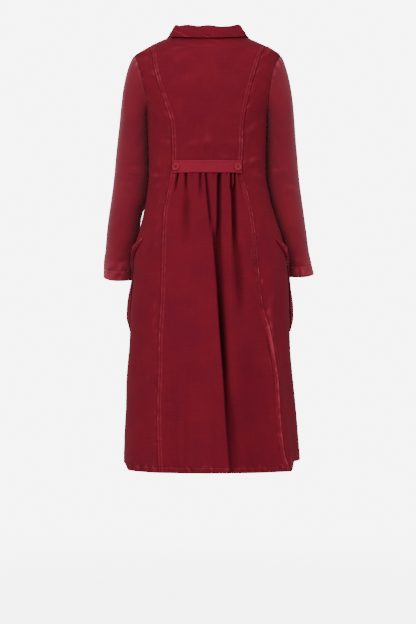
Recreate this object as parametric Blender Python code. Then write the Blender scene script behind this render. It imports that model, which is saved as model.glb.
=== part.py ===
# Long linen jacket, hollow, in the pose of a standing wearer. Metres, +Z up, the garment's
# front at -Y and its left at +X. The origin lies between the shoulders at the base of the neck.
# Every cut piece is one wall of cloth, and sewn edges are a hair apart.
import math

import bmesh
import bpy
import numpy as np

WALL = 0.002                 # cloth wall
SEAM_GAP = 0.0003            # air between two sewn edges
LAY_GAP = 0.0008             # air under a piece that lies on a panel
STEP = 1e-4                  # small step for slopes, in radians and metres

WAIST = -0.337               # seam under the half belt
HEM = -1.165                 # at the centre of the back
HEM_LIFT_LEFT = 0.018        # the hem climbs at the sides and towards the front
HEM_LIFT_RIGHT = 0.025
HEM_LIFT_FRONT = 0.028
HEM_TURN_LEFT = (0.92, 1.00)     # sine of the angle over which it climbs behind
HEM_TURN_RIGHT = (0.82, 0.91)
ARMPIT = -0.180
SHOULDER_TIP = -0.020
NECK_SIDE = 0.036            # neck seam at the shoulder seams
NECK_DIP_BACK = 0.014        # and how much lower it lies at the centre of the back
NECK_DIP_START = -0.060
NECK_FRONT = -0.075          # pit of the neck
NECK_PIT_ROW = -0.0735       # row just above it, where the neckline is almost level
FRONT_LAP = 0.018            # each front passes the middle by this much
PRINCESS_TOP = 0.008         # where the long back seams meet the shoulder seams
PRINCESS_BEND = 0.002        # they turn into them from here
PRINCESS_CLOSE = 0.007       # last row of the side backs

# Sections of the worn body form, hem to neck: half widths, depths and squareness
BODY = {
    "z":      (-1.170, -1.140, -1.100, -1.000, -0.920, -0.830, -0.720, -0.620, -0.560, -0.500, -0.460, -0.420,
               -0.337, -0.250, -0.180, -0.130, -0.090, -0.050, -0.020, -0.003, 0.013, 0.030, 0.036, 0.060),
    "left":   (0.233, 0.233, 0.232, 0.227, 0.224, 0.216, 0.212, 0.206, 0.200, 0.186, 0.176, 0.168,
               0.162, 0.165, 0.170, 0.186, 0.199, 0.205, 0.203, 0.175, 0.146, 0.106, 0.086, 0.070),
    "right":  (0.258, 0.257, 0.254, 0.246, 0.238, 0.230, 0.228, 0.222, 0.212, 0.197, 0.182, 0.171,
               0.161, 0.163, 0.168, 0.184, 0.195, 0.201, 0.203, 0.181, 0.149, 0.108, 0.086, 0.070),
    "back":   (0.196, 0.194, 0.190, 0.182, 0.176, 0.168, 0.158, 0.148, 0.141, 0.132, 0.125, 0.117,
               0.103, 0.112, 0.122, 0.123, 0.119, 0.108, 0.097, 0.089, 0.081, 0.070, 0.064, 0.050),
    "front":  (0.176, 0.175, 0.173, 0.167, 0.161, 0.155, 0.148, 0.142, 0.138, 0.132, 0.128, 0.124,
               0.120, 0.131, 0.131, 0.121, 0.109, 0.092, 0.080, 0.075, 0.070, 0.063, 0.060, 0.048),
    "square": (2.30, 2.30, 2.30, 2.30, 2.30, 2.30, 2.25, 2.25, 2.20, 2.20, 2.20, 2.20,
               2.20, 2.20, 2.25, 2.30, 2.35, 2.40, 2.40, 2.35, 2.30, 2.20, 2.10, 2.00),
}

# Heights of the rows of points that all panels share, hem to waist and waist to neck
SKIRT_ROWS = (-1.165, -1.120, -1.060, -0.995, -0.930, -0.865, -0.800, -0.735, -0.670,
              -0.605, -0.545, -0.490, -0.440, -0.398, -0.366, WAIST)
TORSO_ROWS = (WAIST, -0.292, -0.245, -0.206, ARMPIT, -0.173, -0.160, -0.140, -0.116, -0.094,
              NECK_FRONT, NECK_PIT_ROW, -0.062, -0.046, -0.034, -0.026, SHOULDER_TIP, -0.011, 0.000,
              0.004, PRINCESS_CLOSE, PRINCESS_TOP, 0.013, 0.024, NECK_SIDE)

# Long back seams: distance from the middle, as seen from behind
PRINCESS = {
    "z":     (-1.170, -1.120, -1.000, -0.900, -0.820, -0.700, -0.560, -0.465, -0.400, -0.340,
              -0.290, -0.220, -0.160, -0.095, -0.040, -0.010, PRINCESS_TOP),
    "left":  (0.129, 0.132, 0.135, 0.134, 0.134, 0.128, 0.125, 0.121, 0.110, 0.100,
              0.098, 0.101, 0.118, 0.139, 0.151, 0.153, 0.154),
    "right": (0.218, 0.204, 0.192, 0.186, 0.178, 0.152, 0.137, 0.126, 0.110, 0.096,
              0.098, 0.100, 0.110, 0.126, 0.142, 0.150, 0.152),
}

# Armhole: how far the seam lies behind and before the middle of the side
ARMHOLE = {
    "z":     (ARMPIT, -0.173, -0.160, -0.140, -0.116, -0.094, -0.075, -0.062, -0.046, -0.034, -0.026, SHOULDER_TIP),
    "back":  (0.000, 0.024, 0.041, 0.053, 0.060, 0.062, 0.060, 0.056, 0.048, 0.038, 0.024, 0.000),
    "front": (0.000, 0.026, 0.046, 0.060, 0.067, 0.067, 0.063, 0.057, 0.046, 0.035, 0.022, 0.000),
}

# Front neckline: distance from the middle
NECKLINE = {
    "z": (NECK_FRONT, NECK_PIT_ROW, -0.062, -0.046, -0.034, -0.012, 0.008, NECK_SIDE),
    "x": (0.000, 0.010, 0.034, 0.052, 0.062, 0.073, 0.080, 0.086),
}

# Folds of the back below the belt. A fold runs from its top to its bottom point, seen from behind;
# a ridge has a negative depth. It comes and goes over the lengths of its fades.
GATHER_TOP = WAIST - 0.003
FOLD_COLUMNS = ("x_top", "z_top", "x_bottom", "z_bottom", "width_top", "width_bottom",
                "depth_top", "depth_bottom", "fade_in", "fade_out")
FOLDS = (
    (-0.0275, -0.460, -0.060, -1.180, 0.010, 0.014, 0.010, 0.022, 0.100, 0.010),      # deep middle pleat
    (0.008, GATHER_TOP, -0.017, -0.600, 0.008, 0.009, 0.007, 0.007, 0.014, 0.090),    # its left side
    (-0.035, GATHER_TOP, -0.034, -0.600, 0.009, 0.010, 0.010, 0.009, 0.014, 0.090),   # its right side
    (-0.073, GATHER_TOP, -0.099, -0.880, 0.009, 0.012, 0.011, 0.010, 0.014, 0.240),   # second pleat
    (0.020, GATHER_TOP, 0.018, -0.480, 0.007, 0.010, 0.007, 0.004, 0.014, 0.090),
    (0.060, GATHER_TOP, 0.068, -0.720, 0.009, 0.014, 0.009, 0.005, 0.014, 0.190),
    (0.084, GATHER_TOP, 0.093, -0.480, 0.007, 0.010, 0.006, 0.003, 0.014, 0.080),
    (-0.056, GATHER_TOP, -0.058, -0.440, 0.006, 0.008, 0.005, 0.003, 0.014, 0.070),
    (0.098, -0.700, 0.092, -1.180, 0.018, 0.022, 0.006, 0.009, 0.200, 0.010),
    (0.072, -0.900, 0.070, -1.180, 0.012, 0.014, -0.003, -0.004, 0.120, 0.010),
    (-0.110, -0.760, -0.118, -1.180, 0.026, 0.030, 0.006, 0.012, 0.180, 0.010),
    (-0.182, -0.560, -0.176, -0.860, 0.013, 0.013, -0.006, -0.006, 0.120, 0.120),
    (-0.176, -0.800, -0.216, -1.180, 0.018, 0.018, -0.008, -0.013, 0.120, 0.010),
    (0.000, -0.700, 0.002, -1.180, 0.022, 0.026, -0.004, -0.007, 0.240, 0.010),
    (0.120, -0.850, 0.138, -1.180, 0.016, 0.020, -0.004, -0.007, 0.140, 0.010),
)

BACK_UPPER_COLUMNS = 14
BACK_LOWER_COLUMNS = 44
SIDE_BACK_COLUMNS = 6
FRONT_COLUMNS = 10
LAP_LIFT = WALL + 0.0007     # the right front lies on the left one
LAP_FLAT = 0.030             # half width of the lifted strip
LAP_FADE = 0.075             # where it is back on the plain form

# Sleeves: outer and inner side as seen from behind, middle and half depth from the side
CAP_END = -0.206             # height of the first level ring, just under the armpit
CAP_FULLNESS = 0.60          # outward push of the cap over the shoulder tip
CAP_DROP_BESIDE = 0.45       # how soon it turns down beside the arm and under it
CAP_DROP_UNDER = 0.40
CAP_ROWS = (0.0, 0.07, 0.16, 0.28, 0.42, 0.58, 0.78, 1.0)
SLEEVE_ROWS = (-0.245, -0.300, -0.350, -0.395, -0.435, -0.475, -0.520, -0.565, -0.605, -0.640)
SLEEVE_SQUARE = 2.15
SLEEVES = {
    "left": {
        "z":      (-0.640, -0.600, -0.554, -0.520, -0.487, -0.455, -0.420, -0.354, -0.287, -0.220, -0.187),
        "outer":  (0.2905, 0.2900, 0.2850, 0.2820, 0.2790, 0.2750, 0.2700, 0.2620, 0.2550, 0.2470, 0.2425),
        "inner":  (0.2110, 0.2090, 0.2010, 0.1930, 0.1890, 0.1830, 0.1690, 0.1625, 0.1645, 0.1680, 0.1720),
        "middle": (-0.057, -0.053, -0.049, -0.047, -0.046, -0.046, -0.046, -0.045, -0.042, -0.031, -0.018),
        "depth":  (0.048, 0.049, 0.052, 0.054, 0.056, 0.057, 0.059, 0.061, 0.063, 0.065, 0.066),
    },
    "right": {
        "z":      (-0.640, -0.600, -0.554, -0.520, -0.487, -0.455, -0.420, -0.354, -0.287, -0.220, -0.187),
        "outer":  (0.2985, 0.2915, 0.2830, 0.2785, 0.2740, 0.2695, 0.2650, 0.2565, 0.2505, 0.2445, 0.2415),
        "inner":  (0.2270, 0.2250, 0.2130, 0.2020, 0.1920, 0.1810, 0.1720, 0.1620, 0.1630, 0.1665, 0.1705),
        "middle": (-0.062, -0.057, -0.053, -0.050, -0.048, -0.047, -0.046, -0.045, -0.042, -0.031, -0.018),
        "depth":  (0.050, 0.051, 0.053, 0.055, 0.057, 0.058, 0.060, 0.062, 0.064, 0.066, 0.066),
    },
}

# Collar, from the middle of the back (0) over the shoulder seam to the front end (1):
# height of the stand, and where the edge of the fall lies on the body form
COLLAR = {
    "along":    (0.00, 0.20, 0.42, 0.60, 0.80, 1.00),
    "stand":    (0.0285, 0.0250, 0.0195, 0.0195, 0.0205, 0.0195),
    "angle":    (0.0, 40.0, 88.0, 128.0, 156.0, 173.0),
    "height":   (0.016, 0.020, 0.033, 0.008, -0.050, -0.118),
    "standoff": (0.0065, 0.0060, 0.0040, 0.0045, 0.0050, 0.0050),
}
COLLAR_END = 0.006           # half the opening between the front ends
STAND_LEAN = 0.24            # inward lean of the stand for each metre of height
FALL_ROLL = 0.0045           # how far the cloth rolls over the top of the stand
FALL_ROWS = (0.0, 0.15, 0.45, 1.0)

BELT_HALF_LENGTH = 0.0925
BELT_TOP = -0.3175
BELT_BOTTOM = -0.3515
BELT_WALL = 0.0028
BELT_COLUMNS = 22
BELT_BUTTONS = {"left": 0.0850, "right": -0.0810}
BELT_BUTTON_HEIGHT = -0.3345
BUTTON_RADIUS = 0.0100
BUTTON_PROFILE = ((0.00, 0.00), (0.86, 0.00), (1.00, 0.12), (1.00, 0.28), (0.86, 0.38), (0.66, 0.27), (0.00, 0.25))
BUTTON_SIDES = 14
FRONT_BUTTON_TOP = -0.150
FRONT_BUTTON_STEP = 0.118
FRONT_BUTTON_COUNT = 5

# Patch pockets on the sides, standing off the body like bags with an open slanted top.
# The back edge starts behind the side and runs forward on its way down.
POCKET_BACK_TOP = 62.0
POCKET_BACK_LOW = 87.0
POCKET_BACK_TURN = 0.36      # share of the height over which it runs forward, from the top
POCKET_FRONT = 124.0
POCKET_TOP_BACK = -0.529
POCKET_TOP_FRONT = -0.640
POCKET_BOTTOM = -0.785
POCKET_BULGE = 0.014         # how far its full lower part stands off
POCKET_MOUTH = 0.0040        # and its mouth under the sleeve
POCKET_GAPE = 0.007          # how much further the back end of the mouth gapes
POCKET_COLUMNS = 10
POCKET_ROWS = 11

LINEN = (0.205, 0.0116, 0.0232)
BELT_LINEN = (0.305, 0.0130, 0.0319)
BUTTON_COLOUR = (0.110, 0.0110, 0.0160)


def smooth(table, name, at):
    """Smooth curve through one column of a table, with no overshoot between its rows."""
    first = next(iter(table))
    known = np.asarray(table[first], dtype=float)
    value = np.asarray(table[name], dtype=float)
    width = np.diff(known)
    rise = np.diff(value) / width
    slope = np.zeros_like(value)
    slope[0] = rise[0]
    slope[-1] = rise[-1]
    for row in range(1, len(value) - 1):
        if rise[row - 1] * rise[row] > 0.0:
            heavy = 2.0 * width[row] + width[row - 1]
            light = width[row] + 2.0 * width[row - 1]
            slope[row] = (heavy + light) / (heavy / rise[row - 1] + light / rise[row])
    at = np.clip(np.asarray(at, dtype=float), known[0], known[-1])
    row = np.clip(np.searchsorted(known, at) - 1, 0, len(width) - 1)
    part = (at - known[row]) / width[row]
    bend = (1.0 - part) ** 2
    return (value[row] * bend * (1.0 + 2.0 * part)
            + value[row + 1] * part ** 2 * (3.0 - 2.0 * part)
            + slope[row] * width[row] * part * bend
            - slope[row + 1] * width[row] * part ** 2 * (1.0 - part))


def ramp(value, low, high):
    """0 below low, 1 above high, and a soft step between."""
    part = np.clip((value - low) / (high - low), 0.0, 1.0)
    return part * part * (3.0 - 2.0 * part)


def unit(vectors):
    return vectors / np.linalg.norm(vectors, axis=-1, keepdims=True)


def body_form(angle, z):
    """The plain form: angle 0 at the middle of the back, +90 at the left side, 180 at the front."""
    square = 2.0 / smooth(BODY, "square", z)
    sine = np.sin(angle)
    cosine = np.cos(angle)
    half = np.where(sine >= 0.0, smooth(BODY, "left", z), smooth(BODY, "right", z))
    deep = np.where(cosine >= 0.0, smooth(BODY, "back", z), smooth(BODY, "front", z))
    x = half * np.sign(sine) * np.abs(sine) ** square
    y = deep * np.sign(cosine) * np.abs(cosine) ** square
    return np.stack([x, y, z + 0.0 * x], axis=-1)


def normals(surface, angle, z):
    """Outward unit normals of a surface given as a function of angle and height."""
    around = surface(angle - STEP, z) - surface(angle + STEP, z)
    upward = surface(angle, z + STEP) - surface(angle, z - STEP)
    return unit(np.cross(around, upward))


def fold_depth(x, z):
    """How far the folds sink the cloth under the plain form."""
    depth = np.zeros_like(x)
    for row in FOLDS:
        fold = dict(zip(FOLD_COLUMNS, row))
        part = (fold["z_top"] - z) / (fold["z_top"] - fold["z_bottom"])
        centre = fold["x_top"] + (fold["x_bottom"] - fold["x_top"]) * part
        width = fold["width_top"] + (fold["width_bottom"] - fold["width_top"]) * part
        deep = fold["depth_top"] + (fold["depth_bottom"] - fold["depth_top"]) * part
        present = ramp(fold["z_top"] - z, 0.0, fold["fade_in"]) * ramp(z - fold["z_bottom"], 0.0, fold["fade_out"])
        depth = depth + deep * present * np.exp(-((x - centre) / width) ** 2)
    return depth


def body_cloth(angle, z):
    """The worn cloth: the plain form with its folds."""
    plain = body_form(angle, z)
    behind = ramp(np.cos(angle), 0.0, 0.15)
    return plain - normals(body_form, angle, z) * (fold_depth(plain[..., 0], z) * behind)[..., None]


def row_height(row, angle):
    """Height of a shared row: hem and neck seam rise and fall on their way round."""
    aside = np.abs(np.sin(angle))
    on_left = np.sin(angle) >= 0.0
    to_side = np.where(on_left, HEM_LIFT_LEFT, HEM_LIFT_RIGHT)
    climb = np.where(on_left, ramp(aside, *HEM_TURN_LEFT), ramp(aside, *HEM_TURN_RIGHT))
    lift = np.where(np.cos(angle) >= 0.0, to_side * climb,
                    to_side + (HEM_LIFT_FRONT - to_side) * np.cos(angle) ** 2)
    skirt = np.clip((WAIST - row) / (WAIST - HEM), 0.0, 1.0)
    dip = NECK_DIP_BACK * np.clip(np.cos(angle), 0.0, 1.0) ** 2
    return row + lift * skirt ** 2 - dip * ramp(row, NECK_DIP_START, NECK_SIDE)


def angle_behind(x, z):
    """Angle at which the back of the form is x away from the middle."""
    side = "left" if x >= 0.0 else "right"
    share = min(abs(x) / float(smooth(BODY, side, z)), 1.0)
    turn = math.asin(share ** (0.5 * float(smooth(BODY, "square", z))))
    return math.copysign(turn, x)


def angle_before(x, z):
    return math.pi - angle_behind(x, z)


def side_edge(side, part, z):
    """Outer edge of a panel: side seam, armhole, then shoulder seam. part is back or front."""
    if z <= ARMPIT or z >= SHOULDER_TIP:
        return side * 0.5 * math.pi
    share = float(smooth(ARMHOLE, part, z)) / float(smooth(BODY, part, z))
    turn = math.acos(share ** (0.5 * float(smooth(BODY, "square", z))))
    return side * (turn if part == "back" else math.pi - turn)


def princess_edge(side, z):
    """Long back seam from the hem up to the shoulder seam."""
    limit = 0.5 * math.pi
    if z >= PRINCESS_TOP:
        return side * limit
    name = "left" if side > 0 else "right"
    turn = abs(angle_behind(side * float(smooth(PRINCESS, name, z)), z))
    closing = float(ramp(z, PRINCESS_BEND, PRINCESS_TOP))
    return side * (turn + (limit - turn) * closing)


def front_edge(side, z):
    """Inner edge of a front: it laps over the middle, and follows the neckline higher up."""
    if z <= NECK_FRONT + STEP:
        return side * (math.pi + abs(angle_behind(-side * FRONT_LAP, z)))
    return side * angle_before(float(smooth(NECKLINE, "x", z)), z)


def material(name, colour, roughness):
    made = bpy.data.materials.new(name)
    made.use_nodes = True
    shader = made.node_tree.nodes["Principled BSDF"]
    shader.inputs["Base Color"].default_value = (*colour, 1.0)
    shader.inputs["Roughness"].default_value = roughness
    shader.inputs["Metallic"].default_value = 0.0
    return made


def wall(name, outer, inner, finish, tube=False):
    """One closed wall from a grid of outer points and the inner points that belong to them."""
    rows, columns = outer.shape[:2]
    shape = bmesh.new()
    bmesh.ops.create_grid(shape, x_segments=columns - 1, y_segments=rows - 1, size=1.0)
    shape.verts.ensure_lookup_table()
    for number, vertex in enumerate(shape.verts):
        vertex.co = outer[number // columns, number % columns]
    place = {vertex: (number // columns, number % columns) for number, vertex in enumerate(shape.verts)}
    if tube:
        joined = {shape.verts[row * columns + columns - 1]: shape.verts[row * columns] for row in range(rows)}
        for vertex in joined:
            del place[vertex]
        bmesh.ops.weld_verts(shape, targetmap=joined)
    edges = [edge for edge in shape.edges if edge.is_boundary]
    copied = bmesh.ops.duplicate(shape, geom=shape.verts[:] + shape.edges[:] + shape.faces[:])
    twin = copied["vert_map"]
    for vertex, (row, column) in place.items():
        twin[vertex].co = inner[row, column]
    for edge in edges:
        low, high = edge.verts
        shape.faces.new((low, high, twin[high], twin[low]))
    bmesh.ops.recalc_face_normals(shape, faces=shape.faces[:])
    if shape.calc_volume(signed=True) < 0.0:
        bmesh.ops.reverse_faces(shape, faces=shape.faces[:])
    bmesh.ops.triangulate(shape, faces=shape.faces[:])
    return place_mesh(name, shape, finish)


def place_mesh(name, shape, finish):
    mesh = bpy.data.meshes.new(name)
    shape.to_mesh(mesh)
    shape.free()
    mesh.shade_smooth()
    mesh.set_sharp_from_angle(angle=math.radians(50.0))
    mesh.materials.append(finish)
    made = bpy.data.objects.new(name, mesh)
    bpy.context.collection.objects.link(made)
    return made


def row_angles(start, end, row, count, trim_start, trim_end):
    """Angles along one row, evenly spaced on the cloth, short of the seams by the trims."""
    fine = np.linspace(start, end, 400)
    path = body_cloth(fine, row_height(row, fine))
    along = np.concatenate([[0.0], np.cumsum(np.linalg.norm(np.diff(path, axis=0), axis=1))])
    wanted = np.linspace(trim_start, along[-1] - trim_end, count + 1)
    return np.interp(wanted, along, fine)


def panel(name, rows, start, end, columns, finish, lift=None):
    """A panel between two seams, each given as a function of the row's height."""
    half = 0.5 * SEAM_GAP
    angles = np.array([row_angles(start(row), end(row), row, columns, half, half) for row in rows])
    heights = np.array([row_height(row, angle) for row, angle in zip(rows, angles)])
    outward = normals(body_cloth, angles, heights)
    outer = body_cloth(angles, heights)
    if lift is not None:
        outer = outer + outward * lift(outer)[..., None]
    return wall(name, outer, outer - outward * WALL, finish)


def back_pieces(finish):
    upper = (WAIST + 0.5 * SEAM_GAP,) + TORSO_ROWS[1:]
    lower = SKIRT_ROWS[:-1] + (WAIST - 0.5 * SEAM_GAP,)
    left = lambda row: princess_edge(1, row)
    right = lambda row: princess_edge(-1, row)
    panel("back_upper", upper, right, left, BACK_UPPER_COLUMNS, finish)
    panel("back_lower", lower, right, left, BACK_LOWER_COLUMNS, finish)
    rows = SKIRT_ROWS[:-1] + TORSO_ROWS[:TORSO_ROWS.index(PRINCESS_TOP)]
    for name, side in (("left", 1), ("right", -1)):
        panel("side_back_" + name, rows, lambda row: princess_edge(side, row),
              lambda row: side_edge(side, "back", row), SIDE_BACK_COLUMNS, finish)


def lap(points):
    """The right front is lifted where it lies on the left one."""
    return LAP_LIFT * (1.0 - ramp(np.abs(points[..., 0]), LAP_FLAT, LAP_FADE))


def front_pieces(finish):
    rows = SKIRT_ROWS[:-1] + TORSO_ROWS
    for name, side in (("left", 1), ("right", -1)):
        panel("front_" + name, rows, lambda row: side_edge(side, "front", row),
              lambda row: front_edge(side, row), FRONT_COLUMNS, finish, lift=lap if side < 0 else None)


def armhole(side):
    """The armhole seam from the shoulder tip down the back, under the arm and up the front."""
    first = TORSO_ROWS.index(ARMPIT)
    last = TORSO_ROWS.index(SHOULDER_TIP)
    rising = [row for row in TORSO_ROWS[first:last + 1] if row != NECK_PIT_ROW]
    loop = [(side_edge(side, "back", row), row) for row in reversed(rising)]
    loop += [(side_edge(side, "front", row), row) for row in rising[1:]]
    angle = np.array([turn for turn, row in loop])
    height = row_height(np.array([row for turn, row in loop]), angle)
    points = body_form(angle, height)
    outward = normals(body_form, angle, height)
    return points, outward


def sleeve_ring(side, z, turn):
    """Level section of a sleeve; turn 0 is the outer side and grows towards the back."""
    table = SLEEVES["left" if side > 0 else "right"]
    outer = smooth(table, "outer", z)
    inner = smooth(table, "inner", z)
    power = 2.0 / SLEEVE_SQUARE
    across = np.sign(np.cos(turn)) * np.abs(np.cos(turn)) ** power
    along = np.sign(np.sin(turn)) * np.abs(np.sin(turn)) ** power
    x = side * (0.5 * (outer + inner) + 0.5 * (outer - inner) * across)
    y = smooth(table, "middle", z) + smooth(table, "depth", z) * along
    return np.stack([x, y, z + 0.0 * x], axis=-1)


def sleeve(name, side, finish):
    """A sleeve: its cap leaves the armhole in the run of the body and turns down into a tube."""
    seam, seam_normal = armhole(side)
    travel = np.linalg.norm(np.diff(seam, axis=0), axis=1)
    turn = 2.0 * math.pi * np.concatenate([[0.0], np.cumsum(travel)]) / travel.sum()
    tangent = np.gradient(seam, axis=0)
    tangent[0] = tangent[-1] = seam[1] - seam[-2]
    leaving = unit(np.cross(seam_normal, unit(tangent))) * -side
    ring = sleeve_ring(side, CAP_END, turn)
    below = unit(sleeve_ring(side, CAP_END - 0.01, turn) - ring)
    reach = np.linalg.norm(ring - seam, axis=1, keepdims=True)
    beside = np.abs(np.sin(turn))[:, None]
    fullness = CAP_FULLNESS * np.clip(np.cos(turn), 0.0, 1.0)[:, None] * np.array([side, 0.0, 0.0])
    under = np.clip(-np.cos(turn), 0.0, 1.0)[:, None]
    drop = np.maximum(CAP_DROP_BESIDE * beside, CAP_DROP_UNDER * under)
    level = leaving * (1.0 - beside * (0.0, 0.8, 0.0))
    start = unit(level * (1.0 - drop) + below * drop + fullness) * reach * 0.80
    finish_run = below * reach * 0.85
    begin = seam + leaving * SEAM_GAP
    rows = []
    for part in CAP_ROWS:
        rows.append(begin * (1.0 + 2.0 * part) * (1.0 - part) ** 2 + ring * part ** 2 * (3.0 - 2.0 * part)
                    + start * part * (1.0 - part) ** 2 - finish_run * part ** 2 * (1.0 - part))
    rows += [sleeve_ring(side, height, turn) for height in SLEEVE_ROWS]
    outer = np.array(rows)
    outer[:, -1] = outer[:, 0]
    around = np.roll(outer[:, :-1], -1, axis=1) - np.roll(outer[:, :-1], 1, axis=1)
    around = np.concatenate([around, around[:, :1]], axis=1)
    down = np.gradient(outer, axis=0)
    outward = unit(np.cross(around, down)) * -side
    outward[0] = seam_normal
    outward[0, -1] = outward[0, 0]
    return wall(name, outer, outer - outward * WALL, finish, tube=True)


def neck_seam():
    """The neck seam through the panels' own points, from the right front end to the left one."""
    rows = [row for row in TORSO_ROWS if NECK_FRONT < row < NECK_SIDE]
    rising = [(angle_before(float(smooth(NECKLINE, "x", row)), row), row) for row in rows]
    rising.insert(0, (angle_before(COLLAR_END, NECK_PIT_ROW), NECK_PIT_ROW))
    half = 0.5 * SEAM_GAP
    behind = row_angles(-0.5 * math.pi, 0.5 * math.pi, NECK_SIDE, BACK_UPPER_COLUMNS, half, half)
    seam = [(-angle, row) for angle, row in rising]
    seam += [(angle, NECK_SIDE) for angle in behind]
    seam += [(angle, row) for angle, row in reversed(rising)]
    angle = np.array([turn for turn, row in seam])
    return body_form(angle, row_height(np.array([row for turn, row in seam]), angle))


def collar_columns():
    """Neck points, stand tops, fall edges and outward directions along the whole collar."""
    seam = neck_seam()
    along = np.concatenate([[0.0], np.cumsum(np.linalg.norm(np.diff(seam, axis=0), axis=1))])
    share = 2.0 * along / along[-1] - 1.0
    side = np.where(share < 0.0, -1.0, 1.0)
    share = np.abs(share)
    up = np.array([0.0, 0.0, 1.0])
    out = unit(seam * (1.0, 1.0, 0.0))
    foot = seam + (up - out) * SEAM_GAP * 1.5
    tall = smooth(COLLAR, "stand", share)[:, None]
    top = foot + up * tall - out * tall * STAND_LEAN
    turn = side * np.radians(smooth(COLLAR, "angle", share))
    height = smooth(COLLAR, "height", share)
    edge = body_form(turn, height) + normals(body_form, turn, height) * smooth(COLLAR, "standoff", share)[:, None]
    return foot, top, edge, out


def collar(finish):
    neck, top, edge, out = collar_columns()
    outer = np.array([neck + (top - neck) * part for part in (0.0, 0.5, 1.0)])
    wall("collar_stand", outer, outer - out[None] * WALL, finish)
    up = np.array([0.0, 0.0, 1.0])
    begin = top + up * SEAM_GAP * 2.0
    roll = top + up * FALL_ROLL * 2.2 + out * FALL_ROLL * 1.6
    hang = edge + (roll - edge) * 0.35 + out * 0.002
    rows = []
    for part in FALL_ROWS:
        rest = 1.0 - part
        rows.append(begin * rest ** 3 + roll * 3.0 * rest ** 2 * part + hang * 3.0 * rest * part ** 2 + edge * part ** 3)
    outer = np.array(rows)
    across = np.gradient(outer, axis=1)
    down = np.gradient(outer, axis=0)
    outward = unit(np.cross(across, down))
    outward = np.where((outward[2:3] * out[None]).sum(axis=-1, keepdims=True) < 0.0, -outward, outward)
    wall("collar_fall", outer + outward * WALL, outer, finish)


def half_belt(finish):
    left = angle_behind(BELT_HALF_LENGTH, BELT_TOP)
    right = angle_behind(-BELT_HALF_LENGTH, BELT_TOP)
    angles = np.linspace(right, left, BELT_COLUMNS + 1)[None].repeat(3, axis=0)
    heights = np.array([BELT_BOTTOM, 0.5 * (BELT_BOTTOM + BELT_TOP), BELT_TOP])[:, None] + 0.0 * angles
    outward = normals(body_form, angles, heights)
    inner = body_form(angles, heights) + outward * LAY_GAP
    wall("half_belt", inner + outward * BELT_WALL, inner, finish)


def button(name, seat, facing, radius, finish):
    """A turned button with a raised rim, its back on the seat."""
    shape = bmesh.new()
    facing = facing / np.linalg.norm(facing)
    side = np.cross(facing, (0.0, 0.0, 1.0))
    side = side / np.linalg.norm(side)
    profile = [shape.verts.new(seat + side * radius * out + facing * radius * high) for out, high in BUTTON_PROFILE]
    edges = [shape.edges.new(pair) for pair in zip(profile, profile[1:])]
    bmesh.ops.spin(shape, geom=profile + edges, cent=seat, axis=facing, angle=2.0 * math.pi,
                   steps=BUTTON_SIDES, use_merge=True, use_duplicate=False)
    bmesh.ops.remove_doubles(shape, verts=shape.verts[:], dist=1e-5)
    bmesh.ops.recalc_face_normals(shape, faces=shape.faces[:])
    bmesh.ops.triangulate(shape, faces=shape.faces[:])
    return place_mesh(name, shape, finish)


def belt_buttons(finish):
    for name, x in BELT_BUTTONS.items():
        turn = np.array(angle_behind(x, BELT_BUTTON_HEIGHT))
        height = np.array(BELT_BUTTON_HEIGHT)
        facing = normals(body_form, turn, height)
        seat = body_form(turn, height) + facing * (LAY_GAP + BELT_WALL + LAY_GAP)
        button("belt_button_" + name, seat, facing, BUTTON_RADIUS, finish)


def front_buttons(front, finish):
    """The closure's buttons, each flat on the facet of the upper front that carries it."""
    bpy.context.view_layer.update()
    for number in range(FRONT_BUTTON_COUNT):
        before = (0.0, -1.0, FRONT_BUTTON_TOP - FRONT_BUTTON_STEP * number)
        struck, seat, facing, face = front.ray_cast(before, (0.0, 1.0, 0.0))
        seat = np.array(seat) + np.array(facing) * LAY_GAP
        button(f"front_button_{number + 1}", seat, np.array(facing), BUTTON_RADIUS, finish)


def pocket(name, side, finish):
    """A patch pocket: its sides and bottom lie on the body, its middle and mouth stand off."""
    across = np.linspace(0.0, 1.0, POCKET_COLUMNS + 1)[None]
    up = np.linspace(0.0, 1.0, POCKET_ROWS + 1)[:, None]
    back = POCKET_BACK_LOW + (POCKET_BACK_TOP - POCKET_BACK_LOW) * ramp(up, 1.0 - POCKET_BACK_TURN, 1.0) ** 1.5
    rounding = 0.07 * (1.0 - up) ** 4 * np.sign(0.5 - across) * np.abs(2.0 * across - 1.0) ** 3
    angles = side * np.radians(back + (POCKET_FRONT - back) * (across + rounding))
    top = POCKET_TOP_BACK + (POCKET_TOP_FRONT - POCKET_TOP_BACK) * across
    heights = POCKET_BOTTOM + (top - POCKET_BOTTOM) * up
    full = np.sin(np.pi * across) * np.sin(0.5 * np.pi * np.clip(up * 6.0, 0.0, 1.0)) ** 0.8
    low_part = 1.0 - ramp(up, 0.30, 0.72)
    gape = POCKET_GAPE * ramp(up, 0.60, 1.0) * np.sin(np.pi * np.clip(across * 2.2, 0.0, 1.0))
    off = LAY_GAP + full * (POCKET_MOUTH + (POCKET_BULGE - POCKET_MOUTH) * low_part) + gape
    outward = normals(body_cloth, angles, heights)
    inner = body_cloth(angles, heights) + outward * off[..., None]
    wall(name, inner + outward * WALL, inner, finish)


def build():
    for old in list(bpy.data.objects):
        bpy.data.objects.remove(old, do_unlink=True)
    linen = material("linen", LINEN, 0.85)
    belt_linen = material("belt_linen", BELT_LINEN, 0.80)
    horn = material("button", BUTTON_COLOUR, 0.45)
    back_pieces(linen)
    front_pieces(linen)
    sleeve("sleeve_left", 1, linen)
    sleeve("sleeve_right", -1, linen)
    collar(linen)
    half_belt(belt_linen)
    belt_buttons(horn)
    front_buttons(bpy.data.objects["front_right"], horn)
    pocket("pocket_left", 1, linen)
    pocket("pocket_right", -1, linen)


build()
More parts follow.
